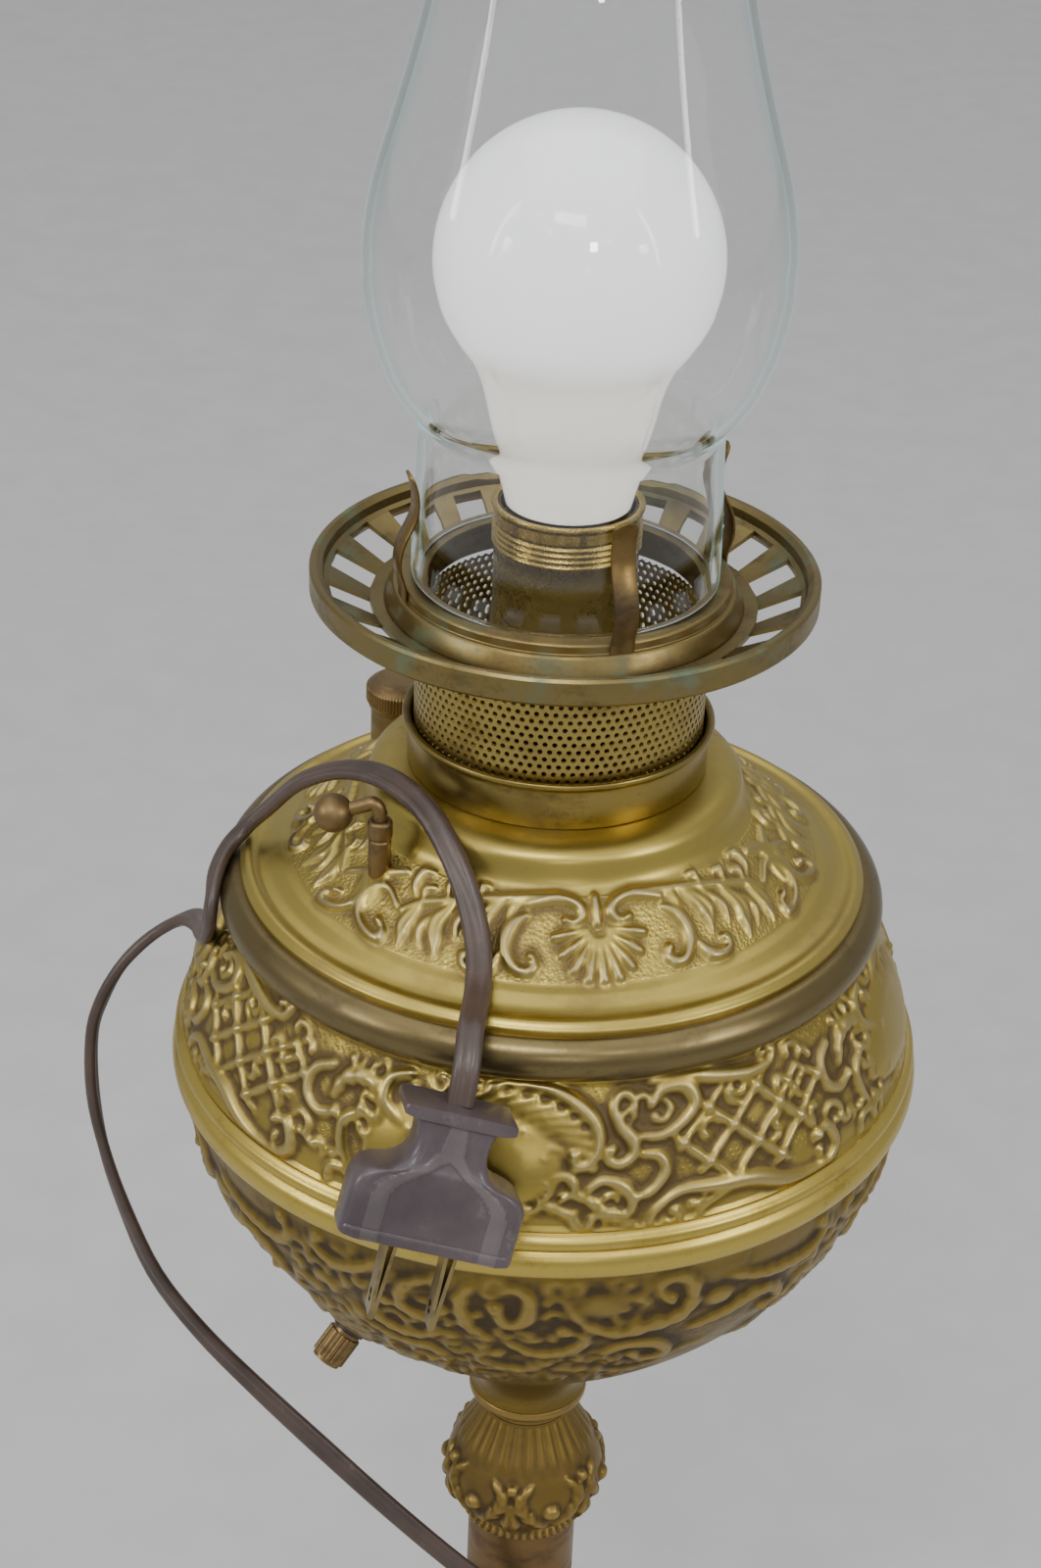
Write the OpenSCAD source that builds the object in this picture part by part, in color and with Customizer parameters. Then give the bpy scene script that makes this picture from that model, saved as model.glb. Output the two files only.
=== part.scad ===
// Embossed brass banquet lamp, an oil lamp converted to electricity.
// Millimetres, +Z up. The origin is the centre of the foot's underside, on the lamp's axis.
// The front of the lamp faces -Y.

/* [Foot and column] */
// Radius of the foot where it stands
foot_r = 82; // [76:1:90]
// Height of the foot
foot_h = 58; // [52:1:66]
// Wall of the cast foot
foot_wall = 5; // [4:0.5:6]
// Height of the collar that seats the column
collar_h = 12; // [9:1:16]
// Radius of the column tube
column_r = 14; // [12:0.5:16]
// Wall of the column tube
column_wall = 1.5; // [1:0.25:2.5]
// Length of the column tube
column_len = 133; // [110:1:160]
// Radius of the knop at its widest
knop_r = 20.6; // [18:0.2:25]
// Height of the knop
knop_h = 36; // [30:1:44]
// Radius of the waist between knop and urn
waist_r = 11.2; // [9:0.2:13.5]
// Height of the neck ring under the urn
neck_h = 7; // [6:0.5:10]

/* [Urn] */
// Radius of the urn at its equator
urn_r = 85; // [79:1:96]
// Height of the bowl below the equator band
bowl_h = 102; // [90:1:115]
// Height of the equator band
band_h = 12; // [9:1:15]
// Height of the shell above the band
shell_h = 30; // [26:1:36]
// Wall of the spun urn
urn_wall = 1; // [0.8:0.1:1.6]
// Radius from the axis to the middle of the rolled bead
bead_r = 70.3; // [66:0.1:73]
// Radius of the rolled bead's own section
bead_t = 5.6; // [5:0.1:6.5]

/* [Font] */
// Radius of the font's flange, which rests on the bead
font_r = 71; // [67:0.5:73]
// Height of the font's top above its flange
font_rise = 27.4; // [22:0.2:33]
// Outer radius of the embossed band on the font
font_band_r = 60; // [55:1:64]
// Inner radius of the embossed band, where the shoulder rises
font_shoulder_r = 44.5; // [42:0.5:48]
// Wall of the spun font
font_wall = 0.9; // [0.7:0.1:1.2]
// Depth of the font below its flange
font_depth = 52; // [45:1:60]
// Radius of the font's drum inside the urn
drum_r = 63.5; // [58:0.5:64]
// Outer radius of the draught tube
draught_r = 14.5; // [12:0.25:15]
// Outer radius of the wick tube
wick_tube_r = 17.6; // [17:0.1:19]
// Wall of the draught and wick tubes
tube_wall = 0.6; // [0.4:0.1:0.8]

/* [Raiser and filler] */
// Distance of the raiser rod from the axis
raiser_dist = 49.2; // [47:0.2:53]
// Direction of the raiser rod, turned from +X
raiser_az = 221; // [210:1:230]
// Radius of the raiser rod
raiser_rod_r = 1.6; // [1.4:0.1:2]
// Radius of the ball on the raiser rod
raiser_ball_r = 4.3; // [3.5:0.1:5]
// Reach of the crank from the rod to the ball
raiser_reach = 10; // [8:0.5:13]
// Lift of the raiser
raiser_lift = 18; // [12:1:20]
// Distance of the filler from the axis
filler_dist = 53; // [52:0.5:55]
// Direction of the filler, turned from +X
filler_az = 134; // [125:1:145]
// Radius of the filler cap
filler_cap_r = 9; // [8:0.25:9.5]

/* [Burner] */
// Outer radius of the burner cup at its floor
cup_r = 33.5; // [32:0.5:36]
// Height of the burner cup
cup_h = 11.4; // [9:0.2:14]
// Height from the cup's floor to the top of the gallery's rim
burner_h = 42.4; // [38:0.2:48]
// Radius of the perforated basket at its foot
basket_r = 32.2; // [31.6:0.2:34]
// Outer radius of the gallery's rim
gallery_r = 55.2; // [53:0.2:60]
// Height of the gallery's rim
gallery_rim_h = 6.2; // [4:0.1:8]
// How far the gallery's spokes rise to its rim
gallery_rise = 4.6; // [0:0.1:6]
// Number of slots in the gallery
gallery_slots = 20; // [14:1:24]
// Width of each slot
slot_w = 8.2; // [4:0.2:8.6]
// How far the seat ring's ledge stands out past the chimney's foot
seat_lip = 2.85; // [2.4:0.05:4.6]
// Width of a spring prong
prong_w = 5.2; // [4:0.2:8]
// Direction of the first prong, turned from +X
prong_az = 20; // [0:1:89]

/* [Chimney] */
// Radius of the chimney at its foot
chimney_r = 33.35; // [33:0.05:34]
// Height of the chimney
chimney_h = 254; // [220:1:300]
// Radius of the chimney's bulge
bulge_r = 44.2; // [41:0.1:50]
// Radius of the chimney at its top
chimney_top_r = 24.8; // [20:0.2:30]
// Wall of the glass
glass_wall = 1.6; // [1.4:0.1:1.8]

/* [Bulb and socket] */
// Radius of the bulb
bulb_r = 30; // [26:0.5:30]
// Height of the bulb with its screw base
bulb_h = 110; // [100:1:116]
// Radius of the bulb's screw base
bulb_screw_r = 13.1; // [12.9:0.05:13.3]
// Room between the bulb's screw base and the outside of the socket shell
socket_room = 3.1; // [2.7:0.1:4.4]
// Height from the socket's seam to its lip
socket_h = 23.7; // [20:0.1:28]
// Outer radius of the threaded pipes
pipe_r = 4.8; // [4.4:0.1:5.4]
// Wall of the threaded pipes
pipe_wall = 1.4; // [1.2:0.1:1.6]

/* [Switch, flex and plug] */
// Radius of the switch body inside the bowl
switch_r = 11; // [9:0.5:13]
// Direction of the switch, turned from +X
switch_az = 214; // [205:1:225]
// Radius of the switch knob
knob_r = 4.2; // [3.6:0.1:5]
// Length of the switch knob
knob_len = 9; // [7:0.5:12]
// Width of the flat flex
flex_w = 5.8; // [5:0.1:6.4]
// Thickness of the flat flex
flex_t = 2.8; // [2.4:0.1:3.4]
// Radius of the coil at the middle of its turns
coil_r = 32; // [30:1:36]
// Radius of the coil's bundle
bundle_r = 5.6; // [5:0.1:6.5]
// Width of the plug body
plug_w = 36.6; // [30:0.2:40]
// Thickness of the plug body
plug_t = 13.5; // [12:0.5:15]
// Length of the plug body
plug_len = 30; // [27:0.5:36]
// Distance between the plug's blades
blade_gap = 12.7; // [12:0.1:13.4]
// Length of the plug's blades
blade_len = 17.5; // [15:0.5:18.5]

/* [Hidden] */

$fn = 72;

brass = "#8d7434";
dark_brass = "#6f5a35";
bright_brass = "#a98c45";
steel_grey = "#8a8a86";
plug_brown = "#5d4f52";

// Clearances: between moving neighbours, for a running fit, and a cut's overshoot
gap = 0.3;
fit = 0.06;
cut = 1;

// Heights of the stack, from the foot up
collar_z = foot_h;
column_z = collar_z + collar_h;
knop_z = column_z + column_len;
neck_z = knop_z + knop_h;
bowl_z = neck_z + neck_h;
band_z = bowl_z + bowl_h;
shell_z = band_z + band_h;
bead_z = shell_z + shell_h;
bead_foot = bead_t - 0.6;
bead_mid_z = bead_z + bead_foot;
font_z = bead_mid_z + bead_t - 0.4;
cup_z = font_z + font_rise;
rim_z = cup_z + burner_h;
plate_z = rim_z - 4.5;
plate_t = 1;
seat_top_z = rim_z + 3;
seat_r = chimney_r + seat_lip;
socket_r = bulb_screw_r + socket_room;
rim_in_r = gallery_r - 2.8;
pipe_bore_r = pipe_r - pipe_wall;

// Burner interior
draught_top_z = cup_z + 16.4;
cup_floor = 1;
font_mouth_r = 24;
adapter_t = 1.5;
nut_h = 4.5;
cap_z = draught_top_z + adapter_t + nut_h;
cap_wall = 0.8;
seam_z = cap_z + 16.5;
insulator_z = cap_z + 5;
insulator_h = 6;
contact_h = 1.6;
bulb_z = insulator_z + insulator_h + contact_h + gap;
bulb_mid_z = bulb_z + bulb_h - bulb_r;
bulb_neck_z = bulb_z + 27;
insulator_r = socket_r - 2.2;
liner_r = socket_r - 1.25;

// Places on the font
raiser_x = raiser_dist * cos(raiser_az);
raiser_y = raiser_dist * sin(raiser_az);
guide_r = raiser_rod_r + fit + 0.85;
guide_top_z = cup_z - 0.1;
elbow_z = guide_top_z + 4.1;
crank_drop = 3;
carrier_z = font_z - 30;
carrier_t = 2.5;
carrier_h = 16;
filler_x = filler_dist * cos(filler_az);
filler_y = filler_dist * sin(filler_az);
filler_neck_r = filler_cap_r - 1.2;
filler_wall = 1.4;
filler_top_z = cup_z - 5.9;
gasket_t = 1.3;

// Prongs and gallery
groove_z = rim_z + 0.8;
prong_t = 0.6;
prong_h = 29;
prong_squeeze_r = chimney_r + gap;

// Switch place on the bowl, as a share of the upper bowl curve
switch_at = 0.13;
switch_len = 15;

// Route of the flex: each entry is a point and the way the flat side faces.
// It runs from the plug over the urn and the font, round the raiser, out over the bead at
// the left, down to the column, round the column and over the foot to the coil.
FLEX = [
    [[-16.3, -87, 393.3], [0, -1, 0.4]],
    [[-15.3, -83.6, 400.4], [0, -1, 0.6]],
    [[-14.9, -77, 405.2], [0, -0.5, 1]],
    [[-14.4, -69.5, 405.6], [0, -0.2, 1]],
    [[-14.1, -62, 407], [0, -0.5, 1]],
    [[-14.6, -55, 411], [0, -0.7, 1]],
    [[-17, -47.2, 417.4], [-0.2, -0.7, 0.8]],
    [[-21.6, -39.2, 424.4], [-0.4, -0.7, 0.7]],
    [[-27.8, -29.9, 429.4], [-0.4, -0.5, 1]],
    [[-36.8, -20, 430.8], [-0.4, -0.3, 1]],
    [[-46.5, -12.5, 428.2], [-0.5, 0, 1]],
    [[-56.5, -7.5, 422], [-0.7, 0, 1]],
    [[-64, -3, 412.6], [-0.8, 0, 0.8]],
    [[-69.6, -0.5, 405.6], [-0.6, 0, 1]],
    [[-73.6, -3.5, 401.9], [-0.8, -0.1, 0.8]],
    [[-75.6, -10, 399.2], [-1, -0.2, 0.6]],
    [[-76, -15.4, 395.4], [-1, -0.3, 0.1]],
    [[-76.6, -17.6, 390.2], [-1, -0.3, 0.1]],
    [[-77.8, -15, 385.6], [-1, -0.3, 0.3]],
    [[-79.2, -9.4, 382.8], [-1, -0.1, 0.6]],
    [[-80.9, -2.8, 380.7], [-0.9, 0, 0.8]],
    [[-84.4, 3, 377.9], [-0.7, 0.5, 0.8]],
    [[-89.7, 5.8, 373.5], [-0.7, 0.5, 0.8]],
    [[-95.6, 6, 368.4], [-0.8, 0.3, 0.7]],
    [[-101.2, 4.6, 362], [-0.9, 0.2, 0.5]],
    [[-105.6, 2.6, 353.6], [-1, 0.2, 0.2]],
    [[-107.9, 0.5, 345], [-1, 0, 0]],
    [[-107.6, -3.5, 331.6], [-1, 0, 0]],
    [[-105, -6.5, 317.2], [-1, -0.3, 0]],
    [[-100.4, -9, 302], [-1, -0.6, -0.2]],
    [[-92.8, -12, 283.6], [-0.6, -0.9, -0.4]],
    [[-81.5, -14.5, 267.8], [-0.3, -1, -0.3]],
    [[-67.5, -16.8, 252.6], [-0.1, -1, -0.2]],
    [[-50.5, -18.8, 235], [0, -1, 0]],
    [[-33, -20, 216.6], [0, -1, 0]],
    [[-15.1, -20.5, 198.6], [0, -1, 0]],
    [[1, -19.2, 183], [0, -1, 0]],
    [[13.5, -14, 167], [0.6, -0.8, 0]],
    [[19.3, -2, 149], [1, 0, 0]],
    [[15.5, 12, 131], [0.8, 0.6, 0]],
    [[5.5, 21, 113], [0.2, 1, 0]],
    [[-3.5, 26.8, 96], [-0.1, 1, 0.2]],
    [[-11, 30, 78], [-0.3, 1, 0.1]],
    [[-16.5, 35, 60.5], [-0.4, 1, 0.2]],
    [[-18.3, 42.5, 46], [-0.4, 0.8, 0.7]],
    [[-15.5, 53, 36], [-0.2, 0.5, 1]],
    [[-9.3, 65, 29.5], [0, 0.3, 1]],
    [[-1.5, 76, 26], [0, 0.4, 1]],
    [[6, 84.8, 19.6], [0, 0.9, 0.7]],
    [[13.5, 89.6, 11.6], [-0.3, 0.6, 1]],
    [[22, 91.2, 7], [0, 0, 1]]
];
// Route of the flex from the coil to the strain relief in the foot
FLEX_TAIL = [
    [[-3, 137, 4.5], [0, 0, 1]],
    [[-11, 126.5, 3.2], [0, 0, 1]],
    [[-23, 118.5, 3], [0, 0, 1]],
    [[-37, 114.5, 3], [0, 0, 1]],
    [[-51, 113, 3], [0, 0, 1]],
    [[-62, 110.5, 3.8], [0, 0, 1]],
    [[-69, 104.5, 6], [0, 0, 1]],
    [[-68.8, 97.2, 8.8], [0, 0, 1]],
    [[-63.8, 91, 10.9], [0, 0, 1]]
];
flex_sides = 8;
coil_x = 24;
coil_y = 122;
coil_z = bundle_r + 0.6;
relief_az = 125;
relief_z = 13.4;
relief_r = 3.9;
relief_len = 30;
relief_dip = 4;
plug_lean = 18.2;
plug_swing = 15.6;
plug_turn = 5;
LEAD = [
    [[-40.3, 57.6, 13.2], [0, 0, 1]],
    [[-30, 43, 14.5], [0, 0, 1]],
    [[-18, 26, 17], [0, 0, 1]],
    [[-8.5, 12.3, 21], [0, 0, 1]],
    [[-2.6, 4, 27.5], [0, 0, 1]],
    [[0, 0, 38], [0, 1, 0]]
];
lead_r = 2.6;

// Points on a cubic curve from a to d, with b and c pulling it; the first point is left out
function curve(a, b, c, d, n) = [
    for (i = [1 : n])
        let (t = i / n, u = 1 - t)
        u * u * u * a + 3 * u * u * t * b + 3 * u * t * t * c + t * t * t * d
];

function reversed(list) = [for (i = [len(list) - 1 : -1 : 0]) list[i]];

function unit(v) = v / norm(v);

// The way a profile runs at its point i
function run(p, i) = unit(p[min(i + 1, len(p) - 1)] - p[max(i - 1, 0)]);

// The profile moved inwards by a wall
function inset(p, wall) = [
    for (i = [0 : len(p) - 1])
        let (d = run(p, i))
        p[i] - wall * [d[1], -d[0]]
];

// A body of revolution with a wall, from its outer profile, which runs upwards
module spun(profile, wall) {
    rotate_extrude() polygon(concat(profile, reversed(inset(profile, wall))));
}

// A solid body of revolution from its outer profile, with a bore
module turned(profile, bore) {
    first = profile[0];
    last = profile[len(profile) - 1];
    rotate_extrude() polygon(concat([[bore, first[1]]], profile, [[bore, last[1]]]));
}

module ring(outer, inner, height) {
    difference() {
        cylinder(r = outer, h = height);
        translate([0, 0, -cut]) cylinder(r = inner, h = height + 2 * cut);
    }
}

module hex_nut(across, bore, height) {
    difference() {
        cylinder(r = across / 2 / cos(30), h = height, $fn = 6);
        translate([0, 0, -cut]) cylinder(r = bore, h = height + 2 * cut);
    }
}

// A tube of flat section swept along a route
module swept(route, width, thickness) {
    count = len(route);
    rings = [
        for (i = [0 : count - 1])
            let (
                ahead = route[min(i + 1, count - 1)][0],
                behind = route[max(i - 1, 0)][0],
                along = unit(ahead - behind),
                across = unit(cross(along, route[i][1])),
                out = cross(across, along)
            )
            for (j = [0 : flex_sides - 1])
                let (a = 360 * j / flex_sides + 22.5)
                route[i][0] + across * cos(a) * width / 2 / cos(22.5)
                    + out * sin(a) * thickness / 2 / cos(22.5)
    ];
    sides = [
        for (i = [0 : count - 2], j = [0 : flex_sides - 1])
            let (k = (j + 1) % flex_sides, low = i * flex_sides, high = low + flex_sides)
            each [[low + j, low + k, high + k], [low + j, high + k, high + j]]
    ];
    start = [[for (j = [flex_sides - 1 : -1 : 0]) j]];
    end = [[for (j = [0 : flex_sides - 1]) (count - 1) * flex_sides + j]];
    polyhedron(points = rings, faces = concat(start, sides, end));
}

/* Foot and column */

foot_step_z = 23;
foot_dome = concat(
    [[foot_r - 6, foot_step_z]],
    curve([foot_r - 6, foot_step_z], [foot_r - 22, 27], [34, 32], [27, foot_h - 4], 12)
);

module base_foot() {
    outer = concat(
        [
            [foot_r, 0], [foot_r, 6.5], [foot_r - 1, 8], [foot_r - 4, 9], [foot_r - 4, 17],
            [foot_r - 3, 18.5], [foot_r - 3, 21], [foot_r - 4.5, 22.5]
        ],
        foot_dome,
        [[27, foot_h], [0, foot_h]]
    );
    under = inset(foot_dome, foot_wall);
    cavity = concat(
        [[0, -cut], [foot_r - 4 - foot_wall, -cut], [foot_r - 4 - foot_wall, 16]],
        [for (p = under) if (p[0] < foot_r - 5 - foot_wall && p[1] < foot_h - 9) p],
        [[18, foot_h - 8], [0, foot_h - 8]]
    );
    color(brass) difference() {
        rotate_extrude() polygon(concat([[0, 0]], outer));
        rotate_extrude() polygon(cavity);
        translate([0, 0, foot_h - 8 - cut]) cylinder(r = pipe_r, h = 8 + 2 * cut);
        at_relief() translate([0, 0, -8]) cylinder(r = relief_r, h = foot_wall + 16);
    }
}

module column_collar() {
    profile = concat(
        [[26, 0], [26, 2.5]],
        curve([26, 2.5], [22, 3], [20, 5], [19, collar_h - 3], 6),
        [[19.6, collar_h - 2], [19.6, collar_h - 0.6], [19, collar_h]]
    );
    color(brass) translate([0, 0, collar_z]) turned(profile, pipe_r);
}

module column_tube() {
    color(dark_brass) translate([0, 0, column_z])
        ring(column_r, column_r - column_wall, column_len);
}

module knop() {
    h = knop_h;
    profile = concat(
        [[column_r, 0], [column_r + 1.4, 0.8], [column_r + 1.8, 2.2], [column_r + 1.4, 3.6]],
        [[column_r + 0.8, 4.2]],
        curve([column_r + 0.8, 4.2], [knop_r - 1, 6], [knop_r, h * 0.32], [knop_r, h * 0.4], 8),
        curve([knop_r, h * 0.4], [knop_r, h * 0.62], [waist_r + 3, h * 0.8], [waist_r, h], 10)
    );
    color(brass) translate([0, 0, knop_z]) turned(profile, pipe_r);
}

module neck_ring() {
    h = neck_h;
    profile = concat(
        [[waist_r, 0]],
        curve([waist_r, 0], [waist_r, h * 0.35], [waist_r + 1.5, h * 0.55], [waist_r + 3.4, h * 0.62], 6),
        [[waist_r + 3.8, h * 0.75], [waist_r + 3.7, h * 0.95], [waist_r + 3.3, h]]
    );
    color(brass) translate([0, 0, neck_z]) turned(profile, pipe_r);
}

washer_t = 1.5;
floor_t = 1.5;

module tie_pipe() {
    low = foot_h - 8 - washer_t - nut_h - 4;
    high = bowl_z + floor_t + washer_t + nut_h + 4;
    color(steel_grey) translate([0, 0, low]) ring(pipe_r, pipe_bore_r, high - low);
}

module tie_nuts() {
    color(steel_grey) {
        translate([0, 0, foot_h - 8 - washer_t - nut_h]) hex_nut(15, pipe_r, nut_h);
        translate([0, 0, bowl_z + floor_t + washer_t]) hex_nut(15, pipe_r, nut_h);
    }
}

module tie_washers() {
    color(steel_grey) {
        translate([0, 0, foot_h - 8 - washer_t]) ring(11, pipe_r, washer_t);
        translate([0, 0, bowl_z + floor_t]) ring(11, pipe_r, washer_t);
    }
}

/* Urn */

neck_top_r = waist_r + 3.3;
bowl_hip = [urn_r * 0.488, bowl_h * 0.324];
bowl_pull_a = [urn_r * 0.73, bowl_h * 0.495];
bowl_pull_b = [urn_r * 0.965, bowl_h * 0.686];
bowl_profile = concat(
    [[neck_top_r, 0]],
    curve([neck_top_r, 0], [neck_top_r + 0.3, bowl_h * 0.1], [urn_r * 0.28, bowl_h * 0.176], bowl_hip, 8),
    curve(bowl_hip, bowl_pull_a, bowl_pull_b, [urn_r, bowl_h], 14)
);
// Point and slope where the switch goes through the bowl
switch_pair = curve(bowl_hip, bowl_pull_a, bowl_pull_b, [urn_r, bowl_h], 100);
switch_point = switch_pair[round(switch_at * 100)];
switch_run = run(switch_pair, round(switch_at * 100));
switch_dip = atan2(switch_run[0], switch_run[1]);

// Places a piece on the switch's axis: local +Z points out of the bowl
module at_switch() {
    rotate([0, 0, switch_az]) translate([switch_point[0], 0, bowl_z + switch_point[1]])
        rotate([0, 90 + switch_dip, 0]) children();
}

module urn_bowl() {
    color(brass) difference() {
        union() {
            translate([0, 0, bowl_z]) intersection() {
                spun(bowl_profile, urn_wall);
                cylinder(r = urn_r * 2, h = bowl_h);
            }
            translate([0, 0, bowl_z]) cylinder(r = neck_top_r - urn_wall / 2, h = floor_t);
        }
        translate([0, 0, bowl_z - cut]) cylinder(r = pipe_r, h = floor_t + 2 * cut);
        at_switch() translate([0, 0, -8]) cylinder(r = 4.2, h = 16);
    }
}

module urn_band() {
    h = band_h;
    r = urn_r;
    profile = concat(
        [[r, 0], [r + 0.9, 0.6]],
        curve([r + 0.9, 0.6], [r + 2.7, 1.6], [r + 2.7, 6], [r + 0.9, 7.2], 8),
        [[r + 0.5, 7.8]],
        curve([r + 0.5, 7.8], [r + 1.9, 8], [r + 1.7, h - 1.4], [r + 0.5, h - 1], 6),
        [[r, h]]
    );
    color(bright_brass) translate([0, 0, band_z]) turned(profile, r - 2.2);
}

shell_profile = concat(
    [[urn_r - 0.2, 0]],
    curve([urn_r - 0.2, 0], [urn_r - 0.7, 9], [bead_r + 8, shell_h - 9], [bead_r + 2.5, shell_h], 12)
);

module urn_shell() {
    color(brass) translate([0, 0, shell_z]) intersection() {
        spun(shell_profile, urn_wall);
        cylinder(r = urn_r * 2, h = shell_h);
    }
}

module urn_bead() {
    color(dark_brass) intersection() {
        rotate_extrude() translate([bead_r, bead_mid_z]) circle(r = bead_t);
        translate([0, 0, bead_z]) cylinder(r = bead_r + 2 * bead_t, h = font_z - bead_z);
    }
}

/* Font */

shoulder_z = font_rise * 0.657;
font_profile = concat(
    [
        [font_r, 0], [font_r, 1.2], [font_r - 0.6, 1.5], [font_r - 1.2, 2.3],
        [font_r - 2.4, 2.6], [font_r - 3.6, 2.1], [font_r - 4.4, 2], [font_r - 6.4, 2.6],
        [font_r - 9, 4.2], [font_band_r, 5]
    ],
    curve([font_band_r, 5], [font_band_r - 5, 8.4], [font_shoulder_r + 4.5, shoulder_z - 3.5],
        [font_shoulder_r, shoulder_z], 7),
    curve([font_shoulder_r, shoulder_z], [font_shoulder_r - 1.8, shoulder_z + 1.4],
        [font_shoulder_r - 1.9, shoulder_z + 3], [font_shoulder_r - 2.5, font_rise - 4], 5),
    curve([font_shoulder_r - 2.5, font_rise - 4], [font_shoulder_r - 3, font_rise - 1],
        [font_shoulder_r - 6.5, font_rise], [cup_r + 0.3, font_rise], 6),
    [[font_mouth_r, font_rise]]
);

module font_top() {
    inner = [
        for (p = reversed(inset(font_profile, font_wall)))
            if (p[1] > 1.3 && p[0] < font_r - 4) [max(p[0], font_mouth_r), p[1]]
    ];
    color(brass) difference() {
        translate([0, 0, font_z]) rotate_extrude()
            polygon(concat(font_profile, inner, [[drum_r - 3, 1.2], [drum_r - 3, 0]]));
        translate([raiser_x, raiser_y, font_z]) cylinder(r = guide_r, h = font_rise);
        translate([filler_x, filler_y, font_z]) cylinder(r = filler_neck_r, h = font_rise);
    }
}

module font_bottom() {
    d = font_depth;
    r = drum_r;
    profile = concat(
        [[draught_r, -d], [r - 10, -d]],
        curve([r - 10, -d], [r - 3, -d], [r, 3 - d], [r, 10 - d], 6),
        [[r, 0]]
    );
    inner = concat(
        [[r - 0.8, 0]],
        curve([r - 0.8, 10 - d], [r - 0.8, 3.4 - d], [r - 3.6, 0.8 - d], [r - 10, 0.8 - d], 6),
        [[draught_r, 0.8 - d]]
    );
    color(brass) translate([0, 0, font_z])
        rotate_extrude() polygon(concat(profile, inner));
}

module draught_tube() {
    low = font_z - font_depth - 3;
    color(brass) translate([0, 0, low])
        ring(draught_r, draught_r - tube_wall, draught_top_z - low);
}

module wick_tube() {
    low = font_z - 4;
    color(brass) translate([0, 0, low])
        ring(wick_tube_r, wick_tube_r - tube_wall, draught_top_z - low);
}

module wick_carrier() {
    inner = draught_r + gap;
    outer = wick_tube_r - tube_wall - gap;
    color(bright_brass) difference() {
        union() {
            translate([0, 0, carrier_z]) cylinder(r = outer, h = carrier_h);
            rotate([0, 0, raiser_az]) translate([0, -2, carrier_z])
                cube([raiser_dist, 4, carrier_t]);
            translate([raiser_x, raiser_y, carrier_z]) cylinder(r = 3.4, h = carrier_t);
        }
        translate([0, 0, carrier_z - cut]) cylinder(r = inner, h = carrier_h + 2 * cut);
        translate([raiser_x, raiser_y, carrier_z - cut])
            cylinder(r = raiser_rod_r + fit, h = carrier_t + 2 * cut);
    }
}

module raiser_rod() {
    foot = carrier_z - gap - 2;
    color(dark_brass) translate([raiser_x, raiser_y, 0]) {
        translate([0, 0, foot]) cylinder(r = raiser_rod_r, h = elbow_z - foot);
        translate([0, 0, foot]) cylinder(r = 3, h = 2);
        translate([0, 0, carrier_z + carrier_t + gap]) cylinder(r = 3, h = 2);
        translate([0, 0, elbow_z]) sphere(r = raiser_rod_r);
        translate([0, 0, elbow_z]) rotate([0, -90 - crank_dip, 0])
            cylinder(r = raiser_rod_r, h = norm([raiser_reach, crank_drop]) - raiser_ball_r + 1);
    }
}

crank_dip = atan2(crank_drop, raiser_reach);

module raiser_ball() {
    color(dark_brass) difference() {
        translate([raiser_x - raiser_reach, raiser_y, elbow_z - crank_drop])
            sphere(r = raiser_ball_r);
        translate([raiser_x, raiser_y, elbow_z]) rotate([0, -90 - crank_dip, 0])
            cylinder(r = raiser_rod_r, h = norm([raiser_reach, crank_drop]) - raiser_ball_r + 1);
    }
}

module raiser_guide() {
    low = font_z + 6;
    color(dark_brass) translate([raiser_x, raiser_y, low])
        ring(guide_r, raiser_rod_r + fit, guide_top_z - low);
}

module filler_neck() {
    low = font_z + 4;
    color(brass) translate([filler_x, filler_y, low])
        ring(filler_neck_r, filler_neck_r - filler_wall, filler_top_z - low);
}

module filler_cap() {
    low = filler_top_z - 3.2;
    inside = filler_top_z + gasket_t - low;
    color(dark_brass) translate([filler_x, filler_y, low]) difference() {
        union() {
            cylinder(r = filler_cap_r - 0.6, h = 1.2);
            translate([0, 0, 1.2]) cylinder(r = filler_cap_r, h = inside - 0.4);
            translate([0, 0, inside + 0.8])
                cylinder(r1 = filler_cap_r, r2 = filler_cap_r - 2.4, h = 1.6);
        }
        translate([0, 0, -cut]) cylinder(r = filler_neck_r + fit, h = inside + cut);
    }
}

module filler_gasket() {
    color("#5a4632") translate([filler_x, filler_y, filler_top_z])
        ring(filler_neck_r - 0.1, filler_neck_r - filler_wall, gasket_t);
}

/* Burner */

module burner_cup() {
    h = cup_h;
    profile = concat(
        [[cup_r, 0], [cup_r, h - 2.6]],
        curve([cup_r, h - 2.6], [cup_r + 0.1, h - 1.6], [cup_r + 1.2, h - 1.6], [cup_r + 1.3, h - 0.8], 4),
        [[cup_r + 1.1, h - 0.1], [cup_r + 0.4, h]],
        [[cup_r - 0.5, h - 0.4], [cup_r - 0.8, h - 1.4], [cup_r - 0.8, cup_floor]],
        [[wick_tube_r, cup_floor], [wick_tube_r, 0]]
    );
    color(brass) translate([0, 0, cup_z]) rotate_extrude() polygon(profile);
}

basket_top_r = seat_r - 5;

module burner_basket() {
    low = cup_floor;
    high = plate_z - cup_z;
    foot = min(basket_r, cup_r - 1);
    color(brass) translate([0, 0, cup_z]) rotate_extrude() polygon([
        [foot, low], [foot, high * 0.7], [basket_top_r + 0.6, high], [basket_top_r, high],
        [foot - 0.6, high * 0.7], [foot - 0.6, low]
    ]);
}

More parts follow.
